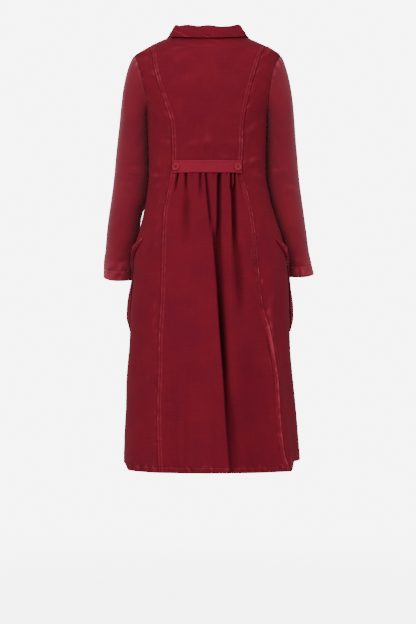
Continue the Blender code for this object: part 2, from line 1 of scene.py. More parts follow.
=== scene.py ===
# A long linen jacket, hollow and in its worn shape. Metres, +Z up, front at -Y, its left at +X.
import math

import bmesh
import bpy
import numpy as np
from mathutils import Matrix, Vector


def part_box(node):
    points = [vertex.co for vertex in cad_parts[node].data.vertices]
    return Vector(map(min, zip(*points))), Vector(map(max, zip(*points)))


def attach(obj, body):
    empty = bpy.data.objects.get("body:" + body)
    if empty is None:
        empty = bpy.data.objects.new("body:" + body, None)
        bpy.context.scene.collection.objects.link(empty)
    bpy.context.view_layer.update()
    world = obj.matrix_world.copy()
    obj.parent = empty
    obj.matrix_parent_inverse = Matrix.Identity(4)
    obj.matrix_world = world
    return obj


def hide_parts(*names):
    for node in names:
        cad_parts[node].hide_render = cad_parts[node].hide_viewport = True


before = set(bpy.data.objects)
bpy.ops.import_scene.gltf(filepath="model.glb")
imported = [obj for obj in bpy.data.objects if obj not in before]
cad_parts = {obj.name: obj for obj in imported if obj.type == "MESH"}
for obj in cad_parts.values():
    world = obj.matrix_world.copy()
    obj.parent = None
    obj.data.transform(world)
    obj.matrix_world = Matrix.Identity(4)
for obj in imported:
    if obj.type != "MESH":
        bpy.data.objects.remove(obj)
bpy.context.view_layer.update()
scene = bpy.context.scene

studio = {
    "cameraPlace": (-0.0014, 5.35, -0.7317),
    "lens": 111.0,
    "sensor": 36.0,
    "floorHeight": -1.545,
    "floorRadius": 2.6,
    "floorColor": (0.90, 0.895, 0.89),
    "floorFade": 0.2,     # it fades out from here to just inside its rim
    "floorClear": 0.45,   # and is this clear in the middle
    "airGlow": 7.0,       # the white backdrop as the camera sees it
    "airLight": 0.56,     # and the light it gives
    "lights": (   # place, aim, size, watts
        ((2.2, 4.0, 1.9), (0.0, 0.0, -0.5), 2.2, 118.0),
        ((-2.8, 3.2, 0.4), (0.0, 0.0, -0.6), 2.0, 34.0),
        ((0.5, -4.0, 2.0), (0.0, 0.0, -0.6), 3.0, 105.0),
    ),
}


def aimAt(item, aim):
    away = np.array(item.location) - np.array(aim)
    tilt = math.atan2(math.hypot(away[0], away[1]), away[2])
    item.rotation_euler = (tilt, 0.0, math.atan2(away[0], -away[1]))


def buildStudio():
    cameraData = bpy.data.cameras.new("camera")
    cameraData.lens = studio["lens"]
    cameraData.sensor_width = studio["sensor"]
    camera = bpy.data.objects.new("camera", cameraData)
    camera.location = studio["cameraPlace"]
    camera.rotation_euler = (math.radians(90.0), 0.0, math.radians(180.0))
    scene.collection.objects.link(camera)
    scene.camera = camera
    for number, (place, aim, size, watts) in enumerate(studio["lights"]):
        lampData = bpy.data.lights.new(f"softbox{number + 1}", "AREA")
        lampData.shape = "SQUARE"
        lampData.size = size
        lampData.energy = watts
        lamp = bpy.data.objects.new(f"softbox{number + 1}", lampData)
        lamp.location = place
        lamp.visible_camera = False
        aimAt(lamp, aim)
        scene.collection.objects.link(lamp)
    world = bpy.data.worlds.new("air")
    world.use_nodes = True
    scene.world = world
    sky = world.node_tree
    light = sky.nodes["Background"]
    light.inputs["Strength"].default_value = studio["airLight"]
    glow = sky.nodes.new("ShaderNodeBackground")
    glow.inputs["Strength"].default_value = studio["airGlow"]
    for ground in (light, glow):
        ground.inputs["Color"].default_value = (1.0, 1.0, 1.0, 1.0)
    blend = sky.nodes.new("ShaderNodeMixShader")
    sky.links.new(sky.nodes.new("ShaderNodeLightPath").outputs["Is Camera Ray"], blend.inputs[0])
    sky.links.new(light.outputs[0], blend.inputs[1])
    sky.links.new(glow.outputs[0], blend.inputs[2])
    sky.links.new(blend.outputs[0], sky.nodes["World Output"].inputs["Surface"])
    shape = bmesh.new()
    bmesh.ops.create_circle(shape, cap_ends=True, segments=96, radius=studio["floorRadius"])
    bmesh.ops.translate(shape, verts=shape.verts[:], vec=(0.0, 0.0, studio["floorHeight"]))
    mesh = bpy.data.meshes.new("floor")
    shape.to_mesh(mesh)
    shape.free()
    floor = bpy.data.objects.new("floor", mesh)
    scene.collection.objects.link(floor)
    shader = Shader("floorPaint", studio["floorColor"], 0.9)
    far = shader.node("ShaderNodeVectorMath", {"operation": "LENGTH"}, {0: shader.objectPlace})
    fade = studio["floorFade"]
    fadeEnd = studio["floorRadius"] - fade
    fading = shader.spread(far.outputs["Value"], fade, fadeEnd, studio["floorClear"], 1.0)
    clear = shader.node("ShaderNodeBsdfTransparent", {}, {})
    mixed = {0: fading, 1: shader.main.outputs[0], 2: clear.outputs[0]}
    blend = shader.node("ShaderNodeMixShader", {}, mixed)
    shader.tree.links.new(blend.outputs[0], shader.output.inputs["Surface"])
    mesh.materials.append(shader.material)


class Signal:   # one changing number of a material, with operators that add Math nodes
    def __init__(self, shader, socket):
        self.shader = shader
        self.socket = socket

    def math(self, operation, first, second=0.0):
        added = self.shader.node("ShaderNodeMath", {"operation": operation}, {0: first, 1: second})
        return Signal(self.shader, added.outputs[0])

    def __add__(self, other):
        return self.math("ADD", self, other)

    def __sub__(self, other):
        return self.math("SUBTRACT", self, other)

    def __mul__(self, other):
        return self.math("MULTIPLY", self, other)

    def __truediv__(self, other):
        return self.math("DIVIDE", self, other)

    def __radd__(self, other):
        return self.math("ADD", other, self)

    def __rsub__(self, other):
        return self.math("SUBTRACT", other, self)

    def __rmul__(self, other):
        return self.math("MULTIPLY", other, self)

    def sine(self):
        return self.math("SINE", self)

    def size(self):
        return self.math("ABSOLUTE", self)

    def part(self):
        return self.math("FRACT", self)

    def most(self, other):
        return self.math("MAXIMUM", self, other)


class Shader:   # a material on the Principled shader, and the nodes it is drawn from
    def __init__(self, name, color, roughness):
        self.material = bpy.data.materials.new(name)
        self.material.use_nodes = True
        self.tree = self.material.node_tree
        self.main = self.tree.nodes["Principled BSDF"]
        self.output = self.tree.nodes["Material Output"]
        self.main.inputs["Base Color"].default_value = (*color, 1.0)
        self.main.inputs["Roughness"].default_value = roughness
        places = self.node("ShaderNodeTexCoord", {}, {})
        self.objectPlace = places.outputs["Object"]
        self.clothPlace = places.outputs["UV"]

    def node(self, kind, settings, sockets):
        added = self.tree.nodes.new(kind)
        for name, value in settings.items():
            setattr(added, name, value)
        for name, value in sockets.items():
            if isinstance(value, Signal):
                self.tree.links.new(value.socket, added.inputs[name])
            elif isinstance(value, bpy.types.NodeSocket):
                self.tree.links.new(value, added.inputs[name])
            else:
                added.inputs[name].default_value = value
        return added

    def signal(self, socket):
        return Signal(self, socket)

    def field(self, name):   # a number stored on the piece's own points
        return self.signal(self.node("ShaderNodeAttribute", {"attribute_name": name}, {}).outputs["Fac"])

    def spread(self, value, low, high, fromLow=0.0, toHigh=1.0):   # soft step from one value to another
        ends = {"Value": value, "From Min": low, "From Max": high, "To Min": fromLow, "To Max": toHigh}
        added = self.node("ShaderNodeMapRange", {"interpolation_type": "SMOOTHSTEP"}, ends)
        return self.signal(added.outputs[0])

    def line(self, value, centre, half):   # 1 on a line, 0 beyond half a width
        return self.spread((value - centre).size(), 0.0, half, 1.0, 0.0)

    def noise(self, place, scale, detail, stretch=(1.0, 1.0, 1.0)):
        wide = self.node("ShaderNodeVectorMath", {"operation": "MULTIPLY"}, {0: place, 1: stretch})
        added = self.node("ShaderNodeTexNoise", {"noise_dimensions": "3D"},
                          {"Vector": wide.outputs[0], "Scale": scale, "Detail": detail, "Roughness": 0.55})
        return self.signal(added.outputs["Fac"])

    def tint(self, factor, first, second):   # one colour into another
        added = self.node("ShaderNodeMix", {"data_type": "RGBA"}, {})
        for socket, value in ((added.inputs[0], factor), (added.inputs[6], first), (added.inputs[7], second)):
            if isinstance(value, Signal):
                self.tree.links.new(value.socket, socket)
            elif isinstance(value, bpy.types.NodeSocket):
                self.tree.links.new(value, socket)
            else:
                socket.default_value = (*value, 1.0)
        return added.outputs[2]

    def finish(self, color, roughness, height):
        self.tree.links.new(color, self.main.inputs["Base Color"])
        self.tree.links.new(roughness.socket, self.main.inputs["Roughness"])
        bump = self.node("ShaderNodeBump", {}, {"Strength": 1.0, "Distance": 1.0, "Height": height})
        self.tree.links.new(bump.outputs[0], self.main.inputs["Normal"])
        return self.material


linenLook = {
    "color": (0.186, 0.0086, 0.0212),
    "warm": (0.200, 0.0098, 0.0214),      # the dye runs a little warmer and cooler over the cloth
    "cool": (0.172, 0.0082, 0.0226),
    "worn": (0.560, 0.055, 0.098),        # rubbed ridges and edges, and painted highlight
    "deep": (0.026, 0.0024, 0.0034),      # painted shade in the seams and pleats
    "thread": (0.270, 0.0200, 0.0380),
    "threadPitch": 0.0011,                # one warp or weft thread
    "slubs": (620.0, 14.0),               # slubs to the metre, across a thread and along it
    "cloudScale": 9.0, "grainScale": 260.0, "unevenScale": 110.0, "rippleScale": 34.0,
    "weaveHeight": 0.00004, "slubHeight": 0.00005, "grainHeight": 0.00007, "rippleHeight": 0.00035,
    "rows": (0.0040, 0.0115),             # topstitching, from the seam
    "rowHalf": (0.0026, 0.0030), "rowHeight": 0.00040,
    "stitch": 0.0032, "stitchHalf": 0.0006, "stitchDepth": 0.0003,
    "crackDepth": 0.0006, "hemHeight": 0.00040, "hemDepth": 0.0005,
    "specular": 0.06, "sheenRoughness": 0.5,
    "roughness": 0.94,
    "sheen": 0.07,
    "sheenTint": (1.0, 0.40, 0.50),
}
# painted light: the sleeves are the same linen in a lighter colour, as they catch more light, with more sheen
litSleeveLook = dict(linenLook)
litSleeveLook.update({
    "color": (0.212, 0.0118, 0.0262),
    "warm": (0.226, 0.0130, 0.0264),
    "cool": (0.198, 0.0112, 0.0276),
    "sheen": 0.50,
    "sheenTint": (1.0, 0.50, 0.58),
})
beltLook = dict(linenLook)
beltLook.update({
    "color": (0.296, 0.0150, 0.0370),
    "warm": (0.315, 0.0160, 0.0370),
    "cool": (0.275, 0.0145, 0.0385),
    "worn": (0.600, 0.075, 0.120),
    "thread": (0.380, 0.0280, 0.0560),
})


def clothMaterial(name, look):
    shader = Shader(name, look["color"], look["roughness"])
    place = shader.clothPlace
    axes = shader.node("ShaderNodeSeparateXYZ", {}, {0: place})
    across = shader.signal(axes.outputs["X"])
    up = shader.signal(axes.outputs["Y"])
    wear = shader.field("wear")
    shade = shader.field("shade")
    ditch = shader.field("ditch")
    seam = shader.field("stitch")
    along = shader.field("along")
    free = shader.field("free")
    cloud = shader.noise(place, look["cloudScale"], 3.0)
    fine, long = look["slubs"]
    warp = shader.noise(place, 1.0, 2.0, (fine, long, 1.0))
    weft = shader.noise(place, 1.0, 2.0, (long, fine, 1.0))
    grain = shader.noise(place, look["grainScale"], 3.0)
    threads = 2.0 * math.pi / look["threadPitch"]
    wobble = (grain - 0.5) * 1.6
    weave = (across * threads + wobble).sine() * (up * threads + wobble).sine()
    uneven = shader.noise(place, look["unevenScale"], 2.0)
    nearRow, farRow = look["rows"]
    rowsDrawn = shader.line(seam, nearRow, look["rowHalf"][0])
    rowsDrawn = rowsDrawn.most(shader.line(seam, farRow, look["rowHalf"][1]) * 0.9)
    dash = shader.line((along / look["stitch"]).part(), 0.5, 0.42)
    sewn = shader.line(seam, nearRow + 0.001, look["stitchHalf"])
    sewn = sewn.most(shader.line(seam, farRow - 0.001, look["stitchHalf"]))
    hemRow = shader.line(free, 1.0, 0.07)
    hemRidge = shader.line(free, 0.84, 0.12).most(shader.spread(free, 0.0, 0.14, 1.0, 0.0))
    crack = shader.spread(ditch, 0.0002, 0.0022, 1.0, 0.0)
    # lighter where the cloth is rubbed (ridges, seam rows, hem edges), and painted highlight where the field
    # carries it
    rubbedAndLit = shader.spread(wear, 0.05, 1.1, 0.0, 0.62)
    rubbedAndLit = rubbedAndLit + rowsDrawn * shader.spread(uneven, 0.30, 0.70, 0.05, 0.26)
    rubbedAndLit = rubbedAndLit + hemRidge * shader.spread(uneven, 0.32, 0.70, 0.03, 0.26)
    # painted shade: darker in hollows, seam ditches, along the hem's inner edge and inside the pleats
    sunk = shader.spread(wear, -1.2, -0.06, 0.60, 0.0).most(crack * 0.34).most(hemRow * 0.36).most(shade)
    color = shader.tint(shader.spread(cloud, 0.35, 0.66), look["cool"], look["warm"])
    threadShade = shader.spread((warp + weft) * 0.5 + weave * 0.05, 0.34, 0.70, 0.0, 1.0)
    color = shader.tint(threadShade * 0.30, color, look["thread"])
    color = shader.tint(rubbedAndLit, color, look["worn"])
    color = shader.tint(sunk, color, look["deep"])
    height = weave * look["weaveHeight"] + (warp + weft) * look["slubHeight"] + grain * look["grainHeight"]
    height = height + rowsDrawn * look["rowHeight"] - crack * look["crackDepth"]
    height = height - sewn * dash * look["stitchDepth"]
    height = height + hemRidge * look["hemHeight"] - hemRow * look["hemDepth"]
    height = height + shader.noise(place, look["rippleScale"], 3.0) * look["rippleHeight"]
    roughness = shader.spread(wear, -0.5, 1.0, look["roughness"], look["roughness"] - 0.04)
    shader.main.inputs["Sheen Weight"].default_value = look["sheen"]
    shader.main.inputs["Sheen Roughness"].default_value = look["sheenRoughness"]
    shader.main.inputs["Sheen Tint"].default_value = (*look["sheenTint"], 1.0)
    shader.main.inputs["Specular IOR Level"].default_value = look["specular"]
    return shader.finish(color, roughness, height)


buttonLook = {
    "color": (0.190, 0.0090, 0.0190),
    "light": (0.520, 0.0260, 0.0560),
    "dark": (0.045, 0.0050, 0.0070),
    "roughness": 0.42,
    "specular": 0.16,
    "holeReach": 0.0021,     # holes, from the middle
    "holeShare": 0.72,       # part of it that each one lies sideways, and up or down
    "holeRadius": 0.00105,
}


def buttonMaterial(name):
    shader = Shader(name, buttonLook["color"], buttonLook["roughness"])
    shader.main.inputs["Specular IOR Level"].default_value = buttonLook["specular"]
    cloud = shader.noise(shader.objectPlace, 420.0, 3.0, (1.0, 1.0, 0.4))
    rim = shader.field("rim")
    color = shader.tint(shader.spread(cloud, 0.3, 0.7, 0.0, 0.5), buttonLook["color"], buttonLook["light"])
    color = shader.tint(shader.spread(rim, 0.5, 0.95, 0.0, 0.75), color, buttonLook["light"])
    color = shader.tint(shader.spread(rim, 0.02, 0.55, 0.55, 0.0), color, buttonLook["dark"])
    roughness = shader.spread(cloud, 0.3, 0.7, 0.30, 0.46)
    return shader.finish(color, roughness, cloud * 0.00004)


def threadMaterial(name, color):
    shader = Shader(name, color, 0.8)
    twist = shader.noise(shader.objectPlace, 1800.0, 2.0)
    shaded = shader.tint(shader.spread(twist, 0.3, 0.7), color, tuple(0.55 * part for part in color))
    return shader.finish(shaded, shader.spread(twist, 0.3, 0.7, 0.72, 0.88), twist * 0.0001)


# painted shade: dark discs on the button's face stand for its shaded holes
def holeShadeMaterial(name):
    shader = Shader(name, buttonLook["dark"], 0.8)
    mottle = shader.noise(shader.objectPlace, 900.0, 2.0)
    shaded = shader.tint(shader.spread(mottle, 0.3, 0.7, 0.0, 0.4), buttonLook["dark"], (0.04, 0.008, 0.01))
    return shader.finish(shaded, shader.spread(mottle, 0.3, 0.7, 0.75, 0.9), mottle * 0.00002)


wall = 0.002
waist = -0.337
hem = -1.165
armpit = -0.180
shoulderTip = -0.020
neckSide = 0.036
neckFront = -0.075
neckPit = -0.0735
princessTop = 0.008
princessBend = 0.002
tiny = 1e-4               # step over which a slope is measured
lapHalf = 0.018           # how far each front reaches past the middle
neckMeet = 0.014          # how far the neck seam drops behind

bodyForm = {   # sections from hem to neck: half widths, depths and squareness
    "z": (-1.170, -1.140, -1.100, -1.000, -0.920, -0.830, -0.720, -0.620, -0.560, -0.500, -0.460, -0.420,
          -0.337, -0.250, -0.180, -0.130, -0.090, -0.050, -0.020, -0.003, 0.013, 0.030, 0.036, 0.060),
    "left": (0.233, 0.233, 0.232, 0.227, 0.224, 0.216, 0.212, 0.206, 0.2035, 0.1880, 0.1785, 0.170,
             0.162, 0.165, 0.170, 0.186, 0.199, 0.205, 0.203, 0.175, 0.146, 0.106, 0.086, 0.070),
    "right": (0.258, 0.257, 0.254, 0.246, 0.238, 0.230, 0.228, 0.223, 0.2155, 0.2000, 0.1855, 0.1745,
              0.161, 0.163, 0.168, 0.184, 0.195, 0.201, 0.203, 0.181, 0.149, 0.108, 0.086, 0.070),
    "back": (0.196, 0.194, 0.190, 0.182, 0.176, 0.168, 0.158, 0.148, 0.141, 0.132, 0.125, 0.117,
             0.103, 0.112, 0.122, 0.123, 0.119, 0.108, 0.097, 0.089, 0.081, 0.070, 0.064, 0.050),
    "front": (0.176, 0.175, 0.173, 0.167, 0.161, 0.155, 0.148, 0.142, 0.138, 0.132, 0.128, 0.124,
              0.120, 0.131, 0.131, 0.121, 0.109, 0.092, 0.080, 0.075, 0.070, 0.063, 0.060, 0.048),
    "square": (2.30, 2.30, 2.30, 2.30, 2.30, 2.30, 2.25, 2.25, 2.20, 2.20, 2.20, 2.20,
               2.20, 2.20, 2.25, 2.30, 2.35, 2.40, 2.40, 2.35, 2.30, 2.20, 2.10, 2.00),
}
princessLine = {   # long back seams, distance from the middle
    "z": (-1.170, -1.120, -1.000, -0.900, -0.820, -0.700, -0.560, -0.465, -0.400, -0.340,
          -0.290, -0.220, -0.160, -0.095, -0.040, -0.010, princessTop),
    "left": (0.129, 0.132, 0.135, 0.134, 0.134, 0.128, 0.125, 0.121, 0.110, 0.100,
             0.098, 0.101, 0.118, 0.139, 0.151, 0.153, 0.154),
    "right": (0.218, 0.204, 0.192, 0.186, 0.178, 0.152, 0.137, 0.126, 0.110, 0.096,
              0.098, 0.100, 0.110, 0.126, 0.142, 0.150, 0.152),
}
armholeLine = {   # how far the seam lies behind and before the side
    "z": (armpit, -0.173, -0.160, -0.140, -0.116, -0.094,
          -0.075, -0.062, -0.046, -0.034, -0.026, shoulderTip),
    "back": (0.000, 0.024, 0.041, 0.053, 0.060, 0.062, 0.060, 0.056, 0.048, 0.038, 0.024, 0.000),
    "front": (0.000, 0.026, 0.046, 0.060, 0.067, 0.067, 0.063, 0.057, 0.046, 0.035, 0.022, 0.000),
}
neckLine = {
    "z": (neckFront, neckPit, -0.062, -0.046, -0.034, -0.012, 0.008, neckSide),
    "x": (0.000, 0.010, 0.034, 0.052, 0.062, 0.073, 0.080, 0.086),
}
hemLift = {   # how far the hem climbs, and the sine of the angle over which it climbs behind
    "left": 0.018, "right": 0.025, "front": 0.028,
    "leftTurn": (0.92, 1.00), "rightTurn": (0.82, 0.91),
}

# Folds below the belt, from a top point to a bottom point: x, z, half width and depth at each end, how much
# wider the fold is on its right side than on its left, and the lengths over which it comes and goes. A ridge
# has a negative depth.
foldColumns = (
    "xTop", "zTop", "xLow", "zLow", "widthTop", "widthLow", "depthTop", "depthLow", "slant", "comes", "goes",
)
gatherTop = -0.345
folds = (
    # the deep middle pleat, the gather above it and the one beside
    (-0.0155, -0.460, -0.0650, -1.180, 0.0060, 0.0045, 0.024, 0.014, 2.9, 0.110, 0.004),
    (-0.0322, gatherTop, -0.0290, -0.600, 0.0050, 0.0056, 0.017, 0.013, 1.2, 0.012, 0.120),
    (0.0060, gatherTop, -0.0128, -0.540, 0.0021, 0.0034, 0.011, 0.010, 1.6, 0.010, 0.070),
    # the second pleat, with the trough it runs into and the gathers that it comes from
    (-0.0722, -0.375, -0.0762, -0.585, 0.0068, 0.0076, 0.018, 0.016, 1.0, 0.026, 0.090),
    (-0.0762, -0.500, -0.0985, -0.840, 0.0105, 0.0150, 0.013, 0.009, 1.3, 0.080, 0.200),
    (-0.0652, gatherTop, -0.0655, -0.410, 0.0024, 0.0034, 0.014, 0.012, 1.0, 0.006, 0.030),
    (-0.0750, gatherTop, -0.0775, -0.410, 0.0024, 0.0034, 0.013, 0.012, 1.0, 0.006, 0.030),
    # gathers, and the fold under one of them
    (-0.0855, gatherTop, -0.1020, -0.440, 0.0030, 0.0055, 0.007, 0.004, 1.3, 0.010, 0.060),
    (-0.0930, gatherTop, -0.1080, -0.400, 0.0028, 0.0040, 0.003, 0.002, 1.0, 0.010, 0.040),
    (0.0200, gatherTop, 0.0195, -0.450, 0.0028, 0.0060, 0.010, 0.006, 1.0, 0.006, 0.070),
    (0.0595, gatherTop, 0.0590, -0.440, 0.0027, 0.0070, 0.013, 0.009, 1.0, 0.006, 0.070),
    (0.0590, -0.390, 0.0600, -0.640, 0.0110, 0.0150, 0.011, 0.008, 1.0, 0.050, 0.170),
    (0.0800, gatherTop, 0.0960, -0.440, 0.0026, 0.0060, 0.012, 0.006, 0.8, 0.006, 0.070),
    (0.0420, gatherTop, 0.0400, -0.390, 0.0026, 0.0040, 0.003, 0.002, 1.0, 0.010, 0.030),
    (-0.0180, gatherTop, -0.0200, -0.385, 0.0026, 0.0040, 0.003, 0.002, 1.0, 0.010, 0.030),
    (-0.0520, gatherTop, -0.0540, -0.380, 0.0024, 0.0040, 0.003, 0.002, 1.0, 0.010, 0.030),
    # broad folds and ridges of the skirt
    (0.0300, -0.460, 0.0280, -0.760, 0.0100, 0.0160, 0.003, 0.004, 1.0, 0.100, 0.200),
    (-0.0600, -0.460, -0.0640, -0.860, 0.0060, 0.0080, -0.003, -0.003, 1.0, 0.120, 0.150),
    (0.0980, -0.700, 0.0920, -1.180, 0.0180, 0.0220, 0.004, 0.006, 1.0, 0.200, 0.010),
    (0.0720, -0.900, 0.0700, -1.180, 0.0120, 0.0140, -0.003, -0.005, 1.0, 0.120, 0.010),
    (-0.1100, -0.700, -0.1140, -1.180, 0.0240, 0.0300, 0.004, 0.003, 1.0, 0.180, 0.010),
    (-0.0690, -0.900, -0.0780, -1.180, 0.0120, 0.0160, 0.004, 0.010, 1.0, 0.140, 0.010),
    (-0.1820, -0.560, -0.1760, -0.860, 0.0130, 0.0130, -0.006, -0.006, 1.0, 0.120, 0.120),
    (-0.1760, -0.800, -0.2160, -1.180, 0.0180, 0.0180, -0.008, -0.013, 1.0, 0.120, 0.010),
    (0.0000, -0.700, 0.0020, -1.180, 0.0220, 0.0260, -0.004, -0.007, 1.0, 0.240, 0.010),
    (0.1200, -0.850, 0.1380, -1.180, 0.0160, 0.0200, -0.004, -0.007, 1.0, 0.140, 0.010),
    (-0.1450, -0.480, -0.1520, -0.860, 0.0100, 0.0140, 0.003, 0.004, 1.0, 0.120, 0.160),
    (0.0430, -0.820, 0.0460, -1.180, 0.0140, 0.0160, 0.003, 0.005, 1.0, 0.160, 0.010),
)
pleatShade = {   # how dark the pleats are inside, from hem to belt
    "z": (-1.165, -1.110, -1.050, -0.990, -0.930, -0.870, -0.800,
          -0.740, -0.690, -0.620, -0.540, -0.380, -0.345),
    "dark": (0.26, 0.34, 0.46, 0.58, 0.70, 0.92, 0.95, 0.88, 0.78, 0.64, 0.55, 0.55, 0.75),
    "sunk": (0.0030, 0.0150),   # the depths between which the shade comes in
}
foldMake = {
    "leaning": 2.0,      # a fold that slants more than this has a soft right side
    "softPower": 1.5,
    "deep": 0.016,       # one that is deeper than this has steep sides
    "steepPower": 4.0,
    "plainPower": 2.4,
}


def smoothCurve(table, name, at):   # smooth line through one column of a table, with no overshoot
    first = next(iter(table))
    known = np.asarray(table[first], dtype=float)
    value = np.asarray(table[name], dtype=float)
    width = np.diff(known)
    rise = np.diff(value) / width
    slope = np.zeros_like(value)
    slope[0] = rise[0]
    slope[-1] = rise[-1]
    for row in range(1, len(value) - 1):
        if rise[row - 1] * rise[row] > 0.0:
            heavy = 2.0 * width[row] + width[row - 1]
            light = width[row] + 2.0 * width[row - 1]
            slope[row] = (heavy + light) / (heavy / rise[row - 1] + light / rise[row])
    at = np.clip(np.asarray(at, dtype=float), known[0], known[-1])
    row = np.clip(np.searchsorted(known, at) - 1, 0, len(width) - 1)
    part = (at - known[row]) / width[row]
    bend = (1.0 - part) ** 2
    return (value[row] * bend * (1.0 + 2.0 * part) + value[row + 1] * part ** 2 * (3.0 - 2.0 * part)
            + slope[row] * width[row] * part * bend - slope[row + 1] * width[row] * part ** 2 * (1.0 - part))


def softStep(value, low, high):
    part = np.clip((value - low) / (high - low), 0.0, 1.0)
    return part * part * (3.0 - 2.0 * part)


def unit(vectors):
    return vectors / np.maximum(np.linalg.norm(vectors, axis=-1, keepdims=True), 1e-12)


def plainForm(angle, z):   # angle 0 at the middle of the back, +90 degrees at the left side
    square = 2.0 / smoothCurve(bodyForm, "square", z)
    sine = np.sin(angle)
    cosine = np.cos(angle)
    half = np.where(sine >= 0.0, smoothCurve(bodyForm, "left", z), smoothCurve(bodyForm, "right", z))
    deep = np.where(cosine >= 0.0, smoothCurve(bodyForm, "back", z), smoothCurve(bodyForm, "front", z))
    x = half * np.sign(sine) * np.abs(sine) ** square
    y = deep * np.sign(cosine) * np.abs(cosine) ** square
    return np.stack([x, y, z + 0.0 * x], axis=-1)


def outwardOf(surface, angle, z):
    around = surface(angle - tiny, z) - surface(angle + tiny, z)
    upward = surface(angle, z + tiny) - surface(angle, z - tiny)
    return unit(np.cross(around, upward))


def foldDepth(x, z):
    depth = np.zeros_like(x)
    for row in folds:
        fold = dict(zip(foldColumns, row))
        part = (fold["zTop"] - z) / (fold["zTop"] - fold["zLow"])
        centre = fold["xTop"] + (fold["xLow"] - fold["xTop"]) * part
        width = fold["widthTop"] + (fold["widthLow"] - fold["widthTop"]) * np.clip(part, 0.0, 1.0)
        width = width * np.where(x < centre, fold["slant"], 1.0)
        deep = fold["depthTop"] + (fold["depthLow"] - fold["depthTop"]) * part
        present = softStep(fold["zTop"] - z, 0.0, fold["comes"])
        present = present * softStep(z - fold["zLow"], 0.0, fold["goes"])
        power = foldMake["steepPower"] if fold["depthTop"] > foldMake["deep"] else foldMake["plainPower"]
        soft = (x < centre) & (fold["slant"] > foldMake["leaning"])
        power = np.where(soft, foldMake["softPower"], power)
        depth = depth + deep * present * np.exp(-np.abs((x - centre) / width) ** power)
    return depth


def onBack(angle):   # 1 behind, fading out towards the sides
    return softStep(np.cos(angle), 0.0, 0.15)


def wornForm(angle, z):
    plain = plainForm(angle, z)
    return plain - outwardOf(plainForm, angle, z) * (foldDepth(plain[..., 0], z) * onBack(angle))[..., None]


def rowHeight(row, angle):   # hem and neck seam rise and fall on their way round
    aside = np.abs(np.sin(angle))
    onLeft = np.sin(angle) >= 0.0
    toSide = np.where(onLeft, hemLift["left"], hemLift["right"])
    climb = np.where(onLeft, softStep(aside, *hemLift["leftTurn"]), softStep(aside, *hemLift["rightTurn"]))
    lift = np.where(np.cos(angle) >= 0.0, toSide * climb,
                    toSide + (hemLift["front"] - toSide) * np.cos(angle) ** 2)
    skirt = np.clip((waist - row) / (waist - hem), 0.0, 1.0)
    dip = neckMeet * np.clip(np.cos(angle), 0.0, 1.0) ** 2
    return row + lift * skirt ** 2 - dip * softStep(row, -0.060, neckSide)


def angleBehind(x, z):
    side = "left" if x >= 0.0 else "right"
    share = min(abs(x) / float(smoothCurve(bodyForm, side, z)), 1.0)
    return math.copysign(math.asin(share ** (0.5 * float(smoothCurve(bodyForm, "square", z)))), x)


def angleBefore(x, z):
    return math.pi - angleBehind(x, z)


def sideEdge(side, part, z):   # side seam, armhole, then shoulder seam
    if z <= armpit or z >= shoulderTip:
        return side * 0.5 * math.pi
    share = float(smoothCurve(armholeLine, part, z)) / float(smoothCurve(bodyForm, part, z))
    turn = math.acos(share ** (0.5 * float(smoothCurve(bodyForm, "square", z))))
    return side * (turn if part == "back" else math.pi - turn)


def princessEdge(side, z):
    if z >= princessTop:
        return side * 0.5 * math.pi
    turn = abs(angleBehind(side * float(smoothCurve(princessLine, "left" if side > 0 else "right", z)), z))
    closing = float(softStep(z, princessBend, princessTop))
    return side * (turn + (0.5 * math.pi - turn) * closing)


def frontEdge(side, z):
    if z <= neckFront + tiny:
        return side * (math.pi + abs(angleBehind(-side * lapHalf, z)))
    return side * angleBefore(float(smoothCurve(neckLine, "x", z)), z)


def unevenWaves(u, v, seed):   # smooth hills and dips between -1 and 1, about one unit apart
    hills = np.random.default_rng(seed).uniform(-1.0, 1.0, (64, 64))
    column = np.floor(u).astype(int)
    row = np.floor(v).astype(int)
    right = u - column
    up = v - row
    right = right * right * (3.0 - 2.0 * right)
    up = up * up * (3.0 - 2.0 * up)
    nextColumn = (column + 1) % 64
    low = hills[row % 64, column % 64] * (1.0 - right) + hills[row % 64, nextColumn] * right
    row = row + 1
    high = hills[row % 64, column % 64] * (1.0 - right) + hills[row % 64, nextColumn] * right
    return low * (1.0 - up) + high * up


def waves(fields, across, up, seed):   # the same over a piece of cloth, in hills of a given length and height
    return unevenWaves(fields["across"] / across, fields["up"] / up, seed)


def blurred(field, cells):
    for axis in (0, 1):
        padding = [(0, 0), (0, 0)]
        padding[axis] = (cells, cells)
        padded = np.pad(field, padding, mode="edge")
        total = np.cumsum(np.insert(padded, 0, 0.0, axis=axis), axis=axis)
        span = 2 * cells + 1
        count = field.shape[axis]
        field = (np.take(total, range(span, span + count), axis=axis)
                 - np.take(total, range(0, count), axis=axis)) / span
    return field


def travel(points, axis):   # distance along the rows or columns of a grid of points
    steps = np.linalg.norm(np.diff(points, axis=axis), axis=-1)
    return np.insert(np.cumsum(steps, axis=axis), 0, 0.0, axis=axis)


def evenly(points, count, field):   # a field at evenly spaced places along a line of points
    length = travel(points, 0)
    wanted = np.linspace(0.0, length[-1], count + 1)
    return np.stack([np.interp(wanted, length, field[:, axis]) for axis in range(3)], axis=-1)


edgeLook = {"soft": 0.0016, "faint": 0.0020}   # these kinds of seam keep this far from a dark line


